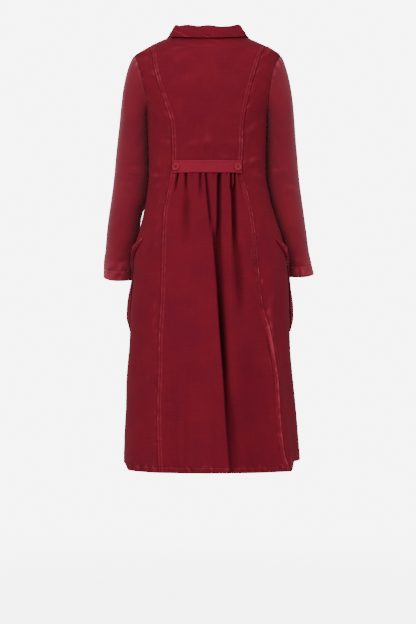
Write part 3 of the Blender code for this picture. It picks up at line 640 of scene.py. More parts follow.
def edgeFields(points, edges):
    # edges names each side: start and end of the rows, low and high end of the columns; each is
    # (kind, number): "ditch" a plain seam, "soft" one without a line, "rows" a topstitched one, "faint" the
    # same without a line, "free" a hem of that depth
    across = travel(points, 1)
    up = travel(points, 0)
    distance = {
        "start": across, "end": across[:, -1:] - across,
        "low": up, "high": up[-1:] - up,
    }
    fields = {name: np.full(across.shape, 1.0) for name in ("ditch", "stitch", "seam")}
    fields.update({"shade": np.zeros(across.shape), "free": np.full(across.shape, 9.0), "along": up.copy(),
                   "across": across, "up": up})
    for side, (kind, number) in edges.items():
        away = distance[side]
        if kind != "free":
            fields["seam"] = np.minimum(fields["seam"], away)
            fields["ditch"] = np.minimum(fields["ditch"], away + edgeLook.get(kind, 0.0))
        if kind in ("rows", "faint"):
            closer = away < fields["stitch"]
            fields["along"] = np.where(closer, across if side in ("low", "high") else up, fields["along"])
            fields["stitch"] = np.minimum(fields["stitch"], away)
        if kind == "free":
            fields["free"] = np.minimum(fields["free"], away / number)
    return fields


sewnShape = {   # what the stitching does to the cloth, and what washing does
    "pucker": {"across": 0.014, "up": 0.0085, "high": 0.0006, "reach": 0.010},
    "slow": {"across": 0.03, "up": 0.024, "high": 0.0006, "reach": 0.022},
    "ditch": {"half": 0.0030, "deep": 0.0004},
    "rows": {"half": 0.0021, "high": (0.00050, 0.00042)},
    "crimp": {"across": 0.0095, "up": 0.016, "high": 0.0009},
    "broad": {"across": 0.080, "up": 0.130, "high": 0.0016},
    "middle": {"across": 0.026, "up": 0.042, "high": 0.00035},
}


def seamRelief(fields, seed):   # ditches, and puckers that the stitching draws into the cloth
    across = fields["across"]
    up = fields["up"]
    near = np.minimum(fields["ditch"], fields["stitch"])
    size = sewnShape["pucker"]
    pucker = unevenWaves(across / size["across"] + 0.3 * up / 0.01, up / size["up"], seed)
    relief = size["high"] * pucker * np.exp(-near / size["reach"])
    size = sewnShape["slow"]
    slow = waves(fields, size["across"], size["up"], seed + 1)
    relief = relief + size["high"] * slow * np.exp(-near / size["reach"])
    size = sewnShape["ditch"]
    relief = relief - size["deep"] * np.exp(-(fields["ditch"] / size["half"]) ** 2)
    size = sewnShape["rows"]
    for row, high in zip(linenLook["rows"], size["high"]):
        relief = relief + high * (1.0 + 0.5 * slow) * np.exp(-((fields["stitch"] - row) / size["half"]) ** 2)
    hemmed = np.exp(-np.maximum(fields["free"] - 1.0, 0.0) * 2.2)
    size = sewnShape["crimp"]
    crimp = unevenWaves(across / size["across"], up / size["up"] + 0.4 * across / size["across"], seed + 2)
    return relief + size["high"] * crimp * hemmed * np.where(fields["free"] < 8.0, 1.0, 0.0)


def crumple(fields, seed, strength=1.0):   # washed linen is never quite flat
    across = fields["across"]
    up = fields["up"]
    large = sewnShape["broad"]
    small = sewnShape["middle"]
    broad = waves(fields, large["across"], large["up"], seed + 5)
    middle = unevenWaves(across / small["across"] + 0.5 * up / 0.05, up / small["up"], seed + 6)
    return strength * (large["high"] * broad + small["high"] * middle)


def clothPiece(name, points, outward, fields, finish, thickness=0.0011, joined=False):
    rows, columns = points.shape[:2]
    shape = bmesh.new()
    bmesh.ops.create_grid(shape, x_segments=columns - 1, y_segments=rows - 1, size=1.0)
    stored = ("wear", "shade", "ditch", "stitch", "free", "along")
    layers = {key: shape.verts.layers.float.new(key) for key in stored}
    flatPoints = points.reshape(-1, 3)
    flatFields = {key: fields[key].reshape(-1) for key in layers}
    for number, vertex in enumerate(shape.verts):
        vertex.co = flatPoints[number]
        for key, layer in layers.items():
            vertex[layer] = flatFields[key][number]
    cloth = shape.loops.layers.uv.new("cloth")
    flatAcross = fields["across"].reshape(-1)
    flatUp = fields["up"].reshape(-1)
    for face in shape.faces:
        for loop in face.loops:
            loop[cloth].uv = (flatAcross[loop.vert.index], flatUp[loop.vert.index])
    facing = np.cross(np.gradient(points, axis=1), np.gradient(points, axis=0))
    if (facing * outward).sum() < 0.0:
        bmesh.ops.reverse_faces(shape, faces=shape.faces[:])
    if joined:
        shape.verts.ensure_lookup_table()
        ends = {shape.verts[row * columns + columns - 1]: shape.verts[row * columns] for row in range(rows)}
        bmesh.ops.weld_verts(shape, targetmap=ends)
    return finishPiece(name, shape, finish, thickness)


def finishPiece(name, shape, finish, thickness):
    mesh = bpy.data.meshes.new(name)
    shape.to_mesh(mesh)
    shape.free()
    mesh.shade_smooth()
    mesh.materials.append(finish)
    piece = bpy.data.objects.new(name, mesh)
    scene.collection.objects.link(piece)
    if thickness:
        layer = piece.modifiers.new("cloth", "SOLIDIFY")
        layer.thickness = thickness
        layer.offset = -1.0
    return piece


def settle(piece, node, flat=None, area=None):
    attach(piece, "root")
    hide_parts(node)
    if flat is not None:
        print(f"{piece.name}: {sum(face.area for face in piece.data.polygons):.4f} square metres, cut {area}")
    return piece


def rowAngles(start, end, row, count):
    fine = np.linspace(start, end, 500)
    length = travel(wornForm(fine, rowHeight(row, fine)), 0)
    return np.interp(np.linspace(0.0, length[-1], count + 1), length, fine)


def wearAndShadeOf(relief, cells=3):   # how far a point stands above its surroundings, in millimetres: raised cloth is drawn rubbed lighter, hollows in painted shade
    return 1000.0 * (relief - blurred(relief, cells))


panelLook = {
    "calm": 0.02,                  # crumples and creases come in over this distance from a seam
    "meet": (-0.0004, 0.0032),     # both sides of a seam meet on the plain form
    # painted light on the fold lips and painted shade in the fold bottoms
    "foldLightAndShade": 0.10,
    "pale": 0.13, "paleRise": (-0.42, -0.24),      # painted light: paler over the shoulders
    "shadow": 0.17, "shadowX": -0.112, "shadowHalf": 0.045, "shadowFall": (0.74, 0.92),   # low on the right
}


def panel(name, rows, start, end, columns, finish, edges, seed,
          lift=None, creases=(), strength=1.0, ridges=None, tuck=0.0):
    angles = np.array([rowAngles(start(row), end(row), row, columns) for row in rows])
    heights = rowHeight(np.array(rows)[:, None], angles)
    points = wornForm(angles, heights)
    outward = outwardOf(wornForm, angles, heights)
    fields = edgeFields(points, edges)
    calm = np.clip(np.minimum(fields["ditch"], fields["stitch"]) / panelLook["calm"], 0.0, 1.0)
    meeting = softStep(fields["seam"], *panelLook["meet"])
    relief = seamRelief(fields, seed) * meeting
    relief = relief + crumple(fields, seed, strength) * calm
    relief = relief + creaseRelief(points[..., 0], points[..., 2], creases) * calm
    plain = plainForm(angles, heights)
    sunk = foldDepth(plain[..., 0], heights) * onBack(angles)
    # raised cloth drawn rubbed lighter, hollows and fold bottoms in painted shade, fold lips and shoulders in
    # painted light
    fields["wear"] = wearAndShadeOf(relief) + panelLook["foldLightAndShade"] * wearAndShadeOf(-sunk, 2)
    fields["wear"] = fields["wear"] + panelLook["pale"] * softStep(heights, *panelLook["paleRise"])
    beside = (plain[..., 0] - panelLook["shadowX"]) / panelLook["shadowHalf"]
    shadow = panelLook["shadow"] * np.exp(-beside ** 2) * softStep(-heights, *panelLook["shadowFall"])
    inFolds = smoothCurve(pleatShade, "dark", heights) * softStep(sunk, *pleatShade["sunk"])
    fields["shade"] = np.maximum(inFolds, shadow * onBack(angles))
    if ridges is not None:
        relief = relief + ridges(points, fields) * meeting
    if lift is not None:
        relief = relief + lift(points)
    relief = relief - tuck * (1.0 - softStep(fields["across"], 0.0, 0.0035))
    return clothPiece(name, points + outward * relief[..., None], outward, fields, finish)


creaseLook = {
    "wide": 1.25, "deep": 0.45,           # all creases, against the sizes in their tables
    "bow": 0.06, "ends": 0.4,             # parts of their length
    "crest": 0.5, "crestAway": 1.9,       # the ridge beside each one
}


def creaseRelief(x, z, creases):   # soft troughs and ridges: x, z of both ends, half width, depth
    relief = np.zeros_like(x)
    for xFrom, zFrom, xTo, zTo, half, deep in creases:
        run = np.array([xTo - xFrom, zTo - zFrom])
        length = float(np.hypot(*run))
        run = run / length
        alongIt = (x - xFrom) * run[0] + (z - zFrom) * run[1]
        beside = (x - xFrom) * -run[1] + (z - zFrom) * run[0]
        bow = beside - creaseLook["bow"] * length * np.sin(math.pi * np.clip(alongIt / length, 0.0, 1.0))
        ends = creaseLook["ends"] * length
        present = softStep(alongIt, 0.0, ends) * softStep(length - alongIt, 0.0, ends)
        wide = creaseLook["wide"] * half
        crest = creaseLook["crest"] * np.exp(-((bow - creaseLook["crestAway"] * wide) / wide) ** 2)
        relief = relief - creaseLook["deep"] * deep * present * (np.exp(-(bow / wide) ** 2) - crest)
    return relief


def spaced(low, high, step):
    return list(np.linspace(low, high, max(2, int(round((high - low) / step)) + 1)))


backSize = {
    "rowStep": 0.0045,
    "gatherStep": 0.0026,
    "upperColumns": 110,
    "lowerColumns": 190,
    "sideColumns": 44,
    "tuck": 0.0013,     # how far the side's edge lies under the back's
    "tuckTurn": 0.006,
    "ridge": {"from": 0.70, "full": 0.80, "away": 0.0065, "half": 0.0048, "high": 0.0024,
              "bright": 0.95, "dip": 0.0125},
    "upperFlat": (0.35, 0.40), "upperArea": 0.109,
    "lowerFlat": (0.46, 0.84), "lowerArea": 0.34,
    "sideFlat": (0.20, 1.17), "sideArea": 0.115,
    "upperCreases": (   # a dimple over the belt, pulls from the armholes and the blades
        (-0.014, -0.292, 0.020, -0.286, 0.012, 0.0022),
        (0.030, -0.300, 0.064, -0.284, 0.010, 0.0016),
        (-0.040, -0.270, -0.074, -0.298, 0.011, 0.0015),
        (0.090, -0.262, 0.112, -0.150, 0.012, 0.0020),
        (-0.088, -0.262, -0.104, -0.150, 0.012, 0.0020),
        (0.020, -0.060, 0.095, -0.085, 0.018, 0.0018),
        (-0.018, -0.070, -0.085, -0.050, 0.018, 0.0015),
    ),
    "sideCreases": (
        (0.160, -0.200, 0.118, -0.318, 0.010, 0.0022),
        (-0.158, -0.200, -0.112, -0.322, 0.010, 0.0024),
        (0.150, -0.330, 0.118, -0.350, 0.007, 0.0016),
        (-0.150, -0.318, -0.110, -0.345, 0.007, 0.0018),
        (0.152, -0.372, 0.124, -0.362, 0.007, 0.0012),
        (-0.150, -0.380, -0.124, -0.366, 0.007, 0.0014),
        (0.170, -0.700, 0.166, -0.980, 0.014, 0.0040),
        (-0.200, -0.640, -0.206, -0.900, 0.012, 0.0040),
    ),
}


def seamRidge(points, fields):   # the right seam stands up in the lower skirt, puckered, with a painted highlight along it and painted shade in the dip beside it
    size = backSize["ridge"]
    fromSeam = fields["across"]
    z = points[..., 2]
    low = softStep(-z, size["from"], size["full"])
    along = unevenWaves(fromSeam * 0.0, fields["up"] / 0.0085, 31)
    slow = unevenWaves(fromSeam * 0.0, fields["up"] / 0.05, 33)
    shape = np.exp(-((fromSeam - size["away"]) / size["half"]) ** 2) * low * (1.0 + 0.35 * along + 0.2 * slow)
    bright = 1.0 - 0.45 * softStep(-z, 0.86, 1.00)
    fields["wear"] = fields["wear"] + size["bright"] * shape * bright
    # painted shade in the dip beside the ridge
    dip = np.exp(-((fromSeam - size["dip"]) / 0.0035) ** 2) * softStep(-z, 0.50, 0.62) * (1.0 + 0.5 * along)
    fields["wear"] = fields["wear"] - 0.55 * dip
    streaks = waves(fields, 0.0050, 0.050, 35) * np.exp(-((fromSeam - 0.017) / 0.013) ** 2)
    streaks = streaks * softStep(-z, 0.50, 0.60) * (1.0 - softStep(-z, 0.88, 0.98))
    fields["wear"] = fields["wear"] + 0.50 * streaks
    return size["high"] * shape - 0.0008 * dip + 0.0007 * streaks


def buildBack(linen):
    left = lambda row: princessEdge(1, row)
    right = lambda row: princessEdge(-1, row)
    upperRows = spaced(waist, 0.002, backSize["rowStep"]) + spaced(0.003, neckSide, 0.0028)
    piece = panel("backUpper", upperRows, right, left, backSize["upperColumns"], linen,
                  {"start": ("rows", 0), "end": ("rows", 0), "low": ("ditch", 0), "high": ("ditch", 0)},
                  11, creases=backSize["upperCreases"], strength=0.6)
    settle(piece, "back_upper", backSize["upperFlat"],
           backSize["upperArea"])
    lowerRows = spaced(hem, -0.460, backSize["rowStep"])[:-1] + spaced(-0.460, waist, backSize["gatherStep"])
    piece = panel("backLower", lowerRows, right, left, backSize["lowerColumns"], linen,
                  {"start": ("faint", 0), "end": ("faint", 0), "high": ("ditch", 0), "low": ("free", 0.017)},
                  23, strength=0.8, ridges=seamRidge)
    settle(piece, "back_lower", backSize["lowerFlat"],
           backSize["lowerArea"])
    sideRows = spaced(hem, -0.004, 0.0055) + spaced(-0.001, 0.0074, 0.0021)
    for name, side in (("Left", 1), ("Right", -1)):
        piece = panel("sideBack" + name, sideRows,
                      lambda row: princessEdge(side, row) - side * backSize["tuckTurn"],
                      lambda row: sideEdge(side, "back", row), backSize["sideColumns"], linen,
                      {"start": ("soft", 0), "end": ("soft", 0), "low": ("free", 0.017)},
                      37 + side, creases=backSize["sideCreases"], tuck=backSize["tuck"])
        settle(piece, "side_back_" + name.lower(), backSize["sideFlat"],
               backSize["sideArea"])
    print("back and side backs")


frontSize = {
    "columns": 52,
    "rowStep": 0.0060,
    "flat": (0.36, 1.22),
    "area": 0.30,
    "lapLift": 0.0027,
    "creases": (
        (0.150, -0.190, 0.060, -0.240, 0.014, 0.0030),
        (-0.150, -0.190, -0.060, -0.250, 0.014, 0.0032),
        (0.140, -0.320, 0.060, -0.352, 0.010, 0.0022),
        (-0.142, -0.315, -0.058, -0.360, 0.010, 0.0024),
        (0.130, -0.370, 0.074, -0.388, 0.009, 0.0016),
        (0.090, -0.420, 0.104, -0.900, 0.022, 0.0060),
        (-0.086, -0.430, -0.110, -0.960, 0.022, 0.0065),
        (0.140, -0.700, 0.152, -1.150, 0.022, 0.0060),
        (-0.150, -0.660, -0.168, -1.150, 0.022, 0.0060),
        (0.045, -0.760, 0.050, -1.160, 0.018, -0.0040),
        (-0.050, -0.700, -0.058, -1.160, 0.018, -0.0045),
    ),
}


def lapLift(points):   # the right front lies on the left one
    return frontSize["lapLift"] * (1.0 - softStep(np.abs(points[..., 0]), 0.030, 0.075))


def buildFronts(linen):
    rows = spaced(hem, neckFront, frontSize["rowStep"]) + spaced(neckPit, neckSide, 0.0034)
    for name, side in (("Left", 1), ("Right", -1)):
        piece = panel("front" + name, rows, lambda row: sideEdge(side, "front", row),
                      lambda row: frontEdge(side, row), frontSize["columns"], linen,
                      {"start": ("rows", 0), "end": ("free", 0.009), "low": ("free", 0.017)},
                      51 + side, lift=lapLift if side < 0 else None, creases=frontSize["creases"])
        settle(piece, "front_" + name.lower(), frontSize["flat"],
               frontSize["area"])
    print("fronts")


sleeveLevels = (-0.640, -0.600, -0.554, -0.520, -0.487, -0.455, -0.420, -0.354, -0.287, -0.220, -0.187)
sleeveSize = {
    "columns": 120,
    "capRows": 34,
    "capEnd": -0.206,
    "capFullness": 0.60,
    "cap": {   # how its rows leave the armhole and come down onto the sleeve
        "smooth": 6, "besideDrop": 0.45, "underDrop": 0.40, "flatten": 0.8,
        "begin": 0.80, "underEase": 0.85, "arrive": 0.85, "spacing": 1.15,
    },
    "rowStep": 0.0048,
    "square": 2.15,
    "cuffHem": 0.030,
    "cuffRise": {   # how far the cuff's edge lies above its level, from the outer side round by the back
        "turn": (0.0, 90.0, 180.0, 270.0, 360.0),
        "left": (0.006, -0.006, -0.002, 0.002, 0.006),
        "right": (0.014, 0.008, 0.007, 0.006, 0.014),
    },
    "flat": (0.42, 0.62),
    "area": 0.215,
    "left": {
        "z": sleeveLevels,
        "outer": (0.2905, 0.2900, 0.2850, 0.2820, 0.2790, 0.2750, 0.2700, 0.2620, 0.2550, 0.2470, 0.2425),
        "inner": (0.2110, 0.2090, 0.2010, 0.1930, 0.1888, 0.1826, 0.1690, 0.1625, 0.1635, 0.1645, 0.1672),
        "middle": (-0.057, -0.053, -0.049, -0.047, -0.046, -0.046, -0.046, -0.045, -0.042, -0.031, -0.018),
        "depth": (0.048, 0.049, 0.052, 0.054, 0.056, 0.057, 0.059, 0.061, 0.063, 0.065, 0.066),
    },
    "right": {
        "z": sleeveLevels,
        "outer": (0.2985, 0.2915, 0.2830, 0.2785, 0.2740, 0.2695, 0.2650, 0.2565, 0.2505, 0.2445, 0.2415),
        "inner": (0.2270, 0.2250, 0.2130, 0.2020, 0.1920, 0.1810, 0.1720, 0.1620, 0.1618, 0.1628, 0.1655),
        "middle": (-0.062, -0.057, -0.053, -0.050, -0.048, -0.047, -0.046, -0.045, -0.042, -0.031, -0.018),
        "depth": (0.050, 0.051, 0.053, 0.055, 0.057, 0.058, 0.060, 0.062, 0.064, 0.066, 0.066),
    },
    "creaseRadius": 0.055,
    # creases: turn from and to in degrees (0 outer side, 90 behind), z from and to, half width, depth
    "creases": {
        "left": (
            (150, 60, -0.175, -0.300, 0.010, 0.0030), (165, 95, -0.215, -0.330, 0.009, 0.0026),
            (60, 150, -0.345, -0.372, 0.008, 0.0022), (40, 120, -0.392, -0.402, 0.007, 0.0016),
            (100, 30, -0.455, -0.520, 0.010, 0.0018), (150, 70, -0.560, -0.590, 0.007, 0.0014),
            (200, 320, -0.330, -0.350, 0.009, 0.0034), (210, 330, -0.372, -0.366, 0.008, 0.0030),
            (220, 310, -0.410, -0.392, 0.008, 0.0024), (20, 60, -0.090, -0.260, 0.011, 0.0020),
        ),
        "right": (
            (150, 70, -0.170, -0.270, 0.010, 0.0028), (165, 80, -0.230, -0.350, 0.009, 0.0028),
            (50, 150, -0.352, -0.366, 0.008, 0.0020), (30, 110, -0.410, -0.398, 0.007, 0.0018),
            (110, 20, -0.470, -0.540, 0.010, 0.0020), (150, 60, -0.585, -0.600, 0.007, 0.0016),
            (200, 330, -0.326, -0.352, 0.009, 0.0034), (200, 320, -0.370, -0.378, 0.008, 0.0030),
            (215, 310, -0.412, -0.396, 0.008, 0.0022), (15, 55, -0.080, -0.240, 0.011, 0.0022),
        ),
    },
}


def sleeveRing(side, z, turn):
    table = sleeveSize["left" if side > 0 else "right"]
    outer = smoothCurve(table, "outer", z)
    inner = smoothCurve(table, "inner", z)
    power = 2.0 / sleeveSize["square"]
    across = np.sign(np.cos(turn)) * np.abs(np.cos(turn)) ** power
    deep = np.sign(np.sin(turn)) * np.abs(np.sin(turn)) ** power
    x = side * (0.5 * (outer + inner) + 0.5 * (outer - inner) * across)
    y = smoothCurve(table, "middle", z) + smoothCurve(table, "depth", z) * deep
    return np.stack([x, y, z + 0.0 * x], axis=-1)


def armholeSeam(side, count):   # evenly from the shoulder tip down the back, under the arm and up the front
    rising = np.concatenate([np.linspace(armpit, -0.172, 9), np.linspace(-0.168, -0.030, 30),
                             np.linspace(-0.027, shoulderTip, 8)])
    loop = [(sideEdge(side, "back", row), row) for row in reversed(rising)]
    loop += [(sideEdge(side, "front", row), row) for row in rising[1:]]
    angle = np.array([turn for turn, row in loop])
    height = rowHeight(np.array([row for turn, row in loop]), angle)
    points = plainForm(angle, height)
    outward = outwardOf(plainForm, angle, height)
    return evenly(points, count, points), unit(evenly(points, count, outward))


def smoothLoop(field, times):
    for _ in range(times):
        ring = field[:-1]
        ring = 0.5 * ring + 0.25 * (np.roll(ring, 1, axis=0) + np.roll(ring, -1, axis=0))
        field = np.concatenate([ring, ring[:1]])
    return field


def buildSleeve(side, linen):
    name = "left" if side > 0 else "right"
    size = sleeveSize
    make = size["cap"]
    seam, seamOut = armholeSeam(side, size["columns"])
    turn = np.linspace(0.0, 2.0 * math.pi, size["columns"] + 1)
    tangent = np.roll(seam[:-1], -1, axis=0) - np.roll(seam[:-1], 1, axis=0)
    tangent = np.concatenate([tangent, tangent[:1]])
    leaving = smoothLoop(unit(np.cross(seamOut, unit(tangent))) * -side, make["smooth"])
    ring = sleeveRing(side, size["capEnd"], turn)
    below = unit(sleeveRing(side, size["capEnd"] - 0.01, turn) - ring)
    reach = np.linalg.norm(ring - seam, axis=1, keepdims=True)
    beside = np.abs(np.sin(turn))[:, None]
    fullness = size["capFullness"] * np.clip(np.cos(turn), 0.0, 1.0)[:, None] * np.array([side, 0.0, 0.0])
    under = np.clip(-np.cos(turn), 0.0, 1.0)[:, None]
    drop = np.maximum(make["besideDrop"] * beside, make["underDrop"] * under)
    level = leaving * (1.0 - beside * (0.0, make["flatten"], 0.0))
    begin = unit(level * (1.0 - drop) + below * drop + fullness) * reach * make["begin"]
    begin = begin * (1.0 - make["underEase"] * under)
    arrive = below * reach * make["arrive"]
    rows = []
    for part in np.linspace(0.0, 1.0, size["capRows"]) ** make["spacing"]:
        rows.append(seam * (1.0 + 2.0 * part) * (1.0 - part) ** 2 + ring * part ** 2 * (3.0 - 2.0 * part)
                    + begin * part * (1.0 - part) ** 2 - arrive * part ** 2 * (1.0 - part))
    for height in reversed(spaced(-0.640, size["capEnd"] - 0.003, size["rowStep"])):
        rows.append(sleeveRing(side, height, turn))
    points = np.array(rows)
    points = np.roll(points[:, :-1], -size["columns"] // 2, axis=1)      # its seam runs under the arm
    points = np.concatenate([points, points[:, :1]], axis=1)[::-1]
    if side > 0:
        points = points[:, ::-1]
    turned = np.degrees(np.roll(turn[:-1], -size["columns"] // 2))
    turned = np.concatenate([turned, turned[:1]])
    if side > 0:
        turned = turned[::-1]
    rise = smoothCurve(size["cuffRise"], name, turned)[None] * softStep(-points[..., 2], 0.560, 0.640)
    points = points + rise[..., None] * np.array([0.0, 0.0, 1.0])
    around = np.roll(points[:, :-1], -1, axis=1) - np.roll(points[:, :-1], 1, axis=1)
    around = np.concatenate([around, around[:, :1]], axis=1)
    outward = unit(np.cross(around, np.gradient(points, axis=0)))
    fields = edgeFields(points, {"high": ("ditch", 0), "low": ("free", size["cuffHem"])})
    relief = seamRelief(fields, 71 + side)
    wrinkles = crumple(fields, 71 + side, 0.8)
    ease = np.sin(turned * math.pi / 180.0 * 17.0 + 1.3 * np.sin(turned * math.pi / 90.0))[None]
    fromSeam = fields["ditch"]
    cap = np.clip(np.cos(np.radians(turned)), 0.0, 1.0)[None]
    wrinkles = wrinkles + 0.0010 * ease * cap * np.exp(-fromSeam / 0.018)
    radius = size["creaseRadius"]
    unrolled = np.radians(np.broadcast_to(turned[None], points.shape[:2])) * radius
    for turnFrom, turnTo, zFrom, zTo, half, deep in size["creases"][name]:
        crease = (math.radians(turnFrom) * radius, zFrom, math.radians(turnTo) * radius, zTo, half, deep)
        wrinkles = wrinkles + creaseRelief(unrolled, points[..., 2], (crease,))
    places = np.arange(points.shape[1])
    ends = np.clip(np.minimum(places, places[::-1])[None] / 6.0, 0.0, 1.0)
    relief = relief * ends + wrinkles * ends
    innerSide = softStep(-np.cos(np.radians(turned)), 0.35, 0.85)[None]   # stays clear of the body
    relief = np.where(relief > 0.0, relief * (1.0 - 0.8 * innerSide), relief)
    outerSide = softStep(np.cos(np.radians(turned)), 0.1, 0.95)[None]
    slow = waves(fields, 0.045, 0.11, 77 + side)
    onCap = 0.35 * np.clip(0.3 + cap, 0.0, 1.0) * np.exp(-((fromSeam - 0.004) / 0.004) ** 2)
    atCuff = 0.42 * softStep(-points[..., 2], 0.54, 0.62)
    # painted sheen: lighter towards the sleeve's outer side; also lighter along the armhole seam on the cap
    # and towards the cuff
    fields["wear"] = 0.7 * wearAndShadeOf(relief) + onCap + outerSide * (0.22 + 0.14 * slow) + atCuff
    fields["ditch"] = fields["ditch"] + 0.0013
    piece = clothPiece("sleeve" + name.capitalize(), points + outward * relief[..., None], outward, fields,
                       linen, joined=True)
    settle(piece, "sleeve_" + name, size["flat"], size["area"])
    print("sleeve", name)


collarSize = {
    "along": (0.00, 0.20, 0.42, 0.60, 0.80, 1.00),
    "stand": (0.0285, 0.0250, 0.0195, 0.0195, 0.0205, 0.0195),
    "angle": (0.0, 40.0, 88.0, 128.0, 156.0, 173.0),
    "height": (0.016, 0.020, 0.033, 0.008, -0.050, -0.118),
    "standoff": (0.0065, 0.0060, 0.0040, 0.0045, 0.0050, 0.0050),
}
collarMake = {
    "end": 0.006,
    "standLean": 0.24,
    "roll": 0.0045,
    "rim": 0.0085,
    "fallRows": 26,
    "columns": 300,
    "fallFlat": (0.50, 0.075), "fallArea": 0.030,
    "standFlat": (0.46, 0.035), "standArea": 0.0115,
}


def neckPath():
    rows = np.linspace(neckPit + 0.0006, neckSide - 0.0006, 46)
    rising = [(angleBefore(collarMake["end"], neckPit), neckPit)]
    rising += [(angleBefore(float(smoothCurve(neckLine, "x", row)), row), row) for row in rows
               if float(smoothCurve(neckLine, "x", row)) > collarMake["end"] + 0.002]
    behind = np.linspace(-0.5 * math.pi, 0.5 * math.pi, 90)
    seam = [(-angle, row) for angle, row in rising]
    seam += [(angle, neckSide) for angle in behind]
    seam += [(angle, row) for angle, row in reversed(rising)]
    angle = np.array([turn for turn, row in seam])
    points = plainForm(angle, rowHeight(np.array([row for turn, row in seam]), angle))
    return evenly(points, collarMake["columns"], points)


def buildCollar(linen):
    seam = neckPath()
    share = np.linspace(-1.0, 1.0, len(seam))
    side = np.where(share < 0.0, -1.0, 1.0)
    share = np.abs(share)
    up = np.array([0.0, 0.0, 1.0])
    out = unit(seam * (1.0, 1.0, 0.0))
    foot = seam + (up - out) * 0.0004
    tall = smoothCurve(collarSize, "stand", share)[:, None]
    top = foot + up * tall - out * tall * collarMake["standLean"]
    turn = side * np.radians(smoothCurve(collarSize, "angle", share))
    height = smoothCurve(collarSize, "height", share)
    wavy = unevenWaves(share * 9.0 * side + 20.0, share * 0.0, 91)
    edge = plainForm(turn, height) + outwardOf(plainForm, turn, height) * (
        smoothCurve(collarSize, "standoff", share) + 0.0007 * wavy)[:, None]
    standRows = np.array([foot + (top - foot) * part for part in np.linspace(0.0, 1.0, 9)])
    fields = edgeFields(standRows, {"low": ("ditch", 0)})
    relief = 0.0004 * waves(fields, 0.016, 0.012, 92)
    fields["wear"] = wearAndShadeOf(relief)
    stand = clothPiece("collarStand", standRows + out[None] * relief[..., None], out[None], fields, linen,
                       thickness=0.0016)
    settle(stand, "collar_stand", collarMake["standFlat"],
           collarMake["standArea"])
    begin = top + up * 0.0006
    roll = top + up * collarMake["roll"] * 2.2 + out * collarMake["roll"] * 1.6
    hang = edge + (roll - edge) * 0.35 + out * 0.002
    rows = []
    for part in np.linspace(0.0, 1.0, collarMake["fallRows"]) ** 0.85:
        rest = 1.0 - part
        rows.append(begin * rest ** 3 + roll * 3.0 * rest ** 2 * part
                    + hang * 3.0 * rest * part ** 2 + edge * part ** 3)
    points = np.array(rows)[::-1]
    outward = unit(np.cross(np.gradient(points, axis=1), np.gradient(points, axis=0)))
    facing = np.sign((outward[4] * out).sum(axis=-1))
    outward = outward * facing[None, :, None]
    fields = edgeFields(points, {side: ("free", collarMake["rim"]) for side in ("low", "start", "end")})
    crimp = waves(fields, 0.0075, 0.010, 93)
    slow = waves(fields, 0.024, 0.03, 94)
    relief = 0.0007 * crimp * np.exp(-(fields["up"] / 0.014))
    relief = relief + 0.0010 * slow * softStep(fields["up"], 0.0, 0.01)
    fields["wear"] = wearAndShadeOf(relief, 2) + 0.24 * slow + 0.30 * crimp * np.exp(-fields["up"] / 0.012)
    topWave = 0.0042 * unevenWaves(fields["across"] / 0.030, fields["across"] * 0.0, 95)
    relief = relief + topWave * softStep(fields["up"], 0.014, 0.034)
    fall = clothPiece("collarFall", points + outward * (relief + wall)[..., None], outward, fields, linen,
                      thickness=0.0018)
    settle(fall, "collar_fall", collarMake["fallFlat"],
           collarMake["fallArea"])
    print("collar")


beltSize = {
    "halfLength": 0.0925,
    "top": -0.3175,
    "bottom": -0.3515,
    "thick": 0.0028,
    "lay": 0.0008,
    "rim": 0.0035,
    "flat": (0.195, 0.036),
    "area": 0.0068,
    "columns": 120,
    "rows": 24,
}


def buildBelt(beltLinen):
    size = beltSize
    left = angleBehind(size["halfLength"], size["top"])
    right = angleBehind(-size["halfLength"], size["top"])
    angles = np.linspace(right, left, size["columns"] + 1)[None].repeat(size["rows"] + 1, axis=0)
    heights = np.linspace(size["bottom"], size["top"], size["rows"] + 1)[:, None] + 0.0 * angles
    outward = outwardOf(plainForm, angles, heights)
    points = plainForm(angles, heights) + outward * (size["lay"] + size["thick"])
    fields = edgeFields(points, {side: ("free", size["rim"]) for side in ("start", "end", "low", "high")})
    rim = fields["free"] * size["rim"]
    relief = 0.00025 * waves(fields, 0.011, 0.007, 97) * softStep(rim, 0.0, 0.004)
    relief = relief - 0.0009 * np.exp(-rim / 0.0009)
    fields["wear"] = wearAndShadeOf(relief, 2) + 0.5 * np.exp(-rim / 0.0012)
    belt = clothPiece("halfBelt", points + outward * relief[..., None], outward, fields, beltLinen,
                      thickness=0.0024)
    settle(belt, "half_belt", size["flat"], size["area"])
    print("half belt")


buttonSize = {
    "radius": 0.0100,
    "profile": (   # from the middle, and height, as parts of the radius
        (0.00, 0.02), (0.80, 0.02), (0.93, 0.06), (1.00, 0.15), (1.00, 0.26), (0.965, 0.34), (0.90, 0.385),
        (0.82, 0.37), (0.745, 0.315), (0.70, 0.265), (0.62, 0.245), (0.40, 0.235), (0.00, 0.235),
    ),
    "steps": 48,
}


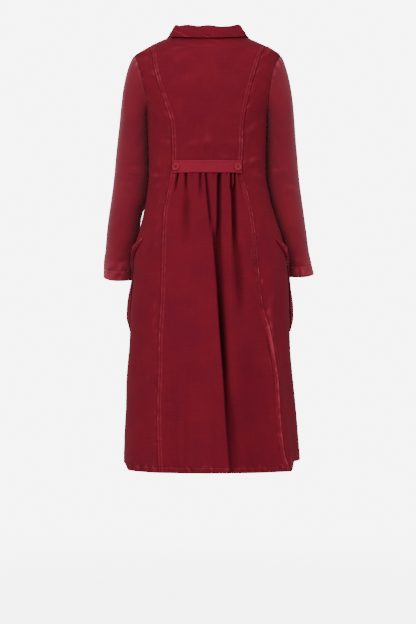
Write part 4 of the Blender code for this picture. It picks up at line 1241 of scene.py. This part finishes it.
def buildButton(name, node, horn, holeShade, thread):
    low, high = (np.array(corner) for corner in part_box(node))
    centre = 0.5 * (low + high)
    middle = plainNear(centre)
    facing = middle / np.linalg.norm(middle)
    reach = buttonSize["radius"]
    seat = centre - facing * reach * 0.19
    side = np.cross(facing, (0.0, 0.0, 1.0))
    side = side / np.linalg.norm(side)
    upward = np.cross(side, facing)
    shape = bmesh.new()
    ring = [shape.verts.new(seat + side * reach * out + facing * reach * tall)
            for out, tall in buttonSize["profile"]]
    edges = [shape.edges.new(pair) for pair in zip(ring, ring[1:])]
    bmesh.ops.spin(shape, geom=ring + edges, cent=seat, axis=facing, angle=2.0 * math.pi,
                   steps=buttonSize["steps"], use_merge=True, use_duplicate=False)
    bmesh.ops.remove_doubles(shape, verts=shape.verts[:], dist=1e-6)
    bmesh.ops.recalc_face_normals(shape, faces=shape.faces[:])
    rim = shape.verts.layers.float.new("rim")
    for vertex in shape.verts:
        away = np.array(vertex.co) - seat
        vertex[rim] = float(np.linalg.norm(away - facing * (away @ facing)) / reach)
    button = finishPiece(name, shape, horn, 0.0)
    settle(button, node)
    top = seat + facing * reach * 0.236
    holes = bmesh.new()
    bars = bmesh.new()
    for right, up in ((1, 1), (1, -1), (-1, 1), (-1, -1)):
        at = top + (side * right + upward * up) * buttonLook["holeReach"] * buttonLook["holeShare"]
        made = bmesh.ops.create_cone(holes, cap_ends=True, segments=16, radius1=buttonLook["holeRadius"],
                                     radius2=buttonLook["holeRadius"], depth=0.0003)
        turnTo(made["verts"], side, upward, facing, at + facing * 0.00004)
    for right in (1, -1):
        at = top + side * right * buttonLook["holeReach"] * buttonLook["holeShare"]
        made = bmesh.ops.create_cone(bars, cap_ends=True, segments=10, radius1=0.00045, radius2=0.00045,
                                     depth=0.0034)
        turnTo(made["verts"], facing, side, upward, at + facing * 0.0003)
    for piece, label, finish in ((holes, "HoleShade", holeShade), (bars, "Thread", thread)):
        bmesh.ops.recalc_face_normals(piece, faces=piece.faces[:])
        extra = finishPiece(name + label, piece, finish, 0.0)
        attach(extra, "root")


def turnTo(vertices, first, second, third, place):   # from its own axes onto three others
    for vertex in vertices:
        local = vertex.co.copy()
        vertex.co = place + first * local[0] + second * local[1] + third * local[2]


def plainNear(centre):   # outward direction of the form at a button
    z = float(centre[2])
    angle = angleBehind(float(centre[0]), z) if centre[1] > 0.0 else angleBefore(float(centre[0]), z)
    return outwardOf(plainForm, np.array(angle), np.array(z))


def buildButtons():
    horn = buttonMaterial("buttonHorn")
    holeShade = holeShadeMaterial("buttonHoleShade")
    thread = threadMaterial("sewingThread", (0.30, 0.02, 0.035))
    for name in ("left", "right"):
        buildButton("beltButton" + name.capitalize(), "belt_button_" + name, horn, holeShade, thread)
    for number in range(1, 6):
        buildButton(f"frontButton{number}", f"front_button_{number}", horn, holeShade, thread)
    print("buttons")


pocketSize = {
    "backTop": 62.0, "backLow": 87.0, "backTurn": 0.36, "front": 124.0,
    "topBack": -0.529, "topFront": -0.640, "bottom": -0.785,
    "bulge": 0.014, "mouth": 0.0040, "gape": 0.0045, "lay": 0.0008,
    "columns": 64, "rows": 60,
    "hem": 0.018,
    "flat": (0.17, 0.27),
    "area": 0.030,
}


def buildPocket(side, linen):
    name = "left" if side > 0 else "right"
    size = pocketSize
    across = np.linspace(0.0, 1.0, size["columns"] + 1)[None]
    up = np.linspace(0.0, 1.0, size["rows"] + 1)[:, None]
    leaning = softStep(up, 1.0 - size["backTurn"], 1.0) ** 1.5
    back = size["backLow"] + (size["backTop"] - size["backLow"]) * leaning
    rounding = 0.07 * (1.0 - up) ** 4 * np.sign(0.5 - across) * np.abs(2.0 * across - 1.0) ** 3
    angles = side * np.radians(back + (size["front"] - back) * (across + rounding))
    top = size["topBack"] + (size["topFront"] - size["topBack"]) * across
    heights = size["bottom"] + (top - size["bottom"]) * up
    full = np.sin(np.pi * across) * np.sin(0.5 * np.pi * np.clip(up * 6.0, 0.0, 1.0)) ** 0.8
    lowPart = 1.0 - softStep(up, 0.30, 0.72)
    gape = size["gape"] * softStep(up, 0.60, 1.0) * np.sin(np.pi * np.clip(across * 2.2, 0.0, 1.0))
    off = size["lay"] + full * (size["mouth"] + (size["bulge"] - size["mouth"]) * lowPart) + gape + wall
    outward = outwardOf(wornForm, angles, heights)
    points = wornForm(angles, heights) + outward * off[..., None]
    if side < 0:
        points, outward, off = points[:, ::-1], outward[:, ::-1], off[:, ::-1]
    fields = edgeFields(points, {"high": ("free", size["hem"]), "low": ("rows", 0),
                                 "start": ("rows", 0), "end": ("rows", 0)})
    fields["ditch"] = np.full(points.shape[:2], 1.0)
    stitch = fields["stitch"]
    free = fields["free"]
    relief = 0.0008 * waves(fields, 0.010, 0.008, 101 + side) * np.exp(-stitch / 0.012)
    relief = relief + 0.0022 * waves(fields, 0.035, 0.05, 105 + side) * softStep(stitch, 0.0, 0.03)
    relief = relief + 0.0009 * waves(fields, 0.009, 0.02, 109 + side) * np.exp(-free * 0.8)
    fields["wear"] = wearAndShadeOf(relief) + 0.8 * np.exp(-free * 6.0)
    piece = clothPiece("pocket" + name.capitalize(), points + outward * relief[..., None], outward, fields,
                       linen, thickness=0.0014)
    settle(piece, "pocket_" + name, size["flat"], size["area"])
    print("pocket", name)


buildStudio()
linen = clothMaterial("washedLinen", linenLook)
litSleeveLinen = clothMaterial("litSleeveLinen", litSleeveLook)
beltLinen = clothMaterial("beltLinen", beltLook)
buildBack(linen)
buildFronts(linen)
buildSleeve(1, litSleeveLinen)
buildSleeve(-1, litSleeveLinen)
buildCollar(linen)
buildBelt(beltLinen)
buildButtons()
buildPocket(1, linen)
buildPocket(-1, linen)
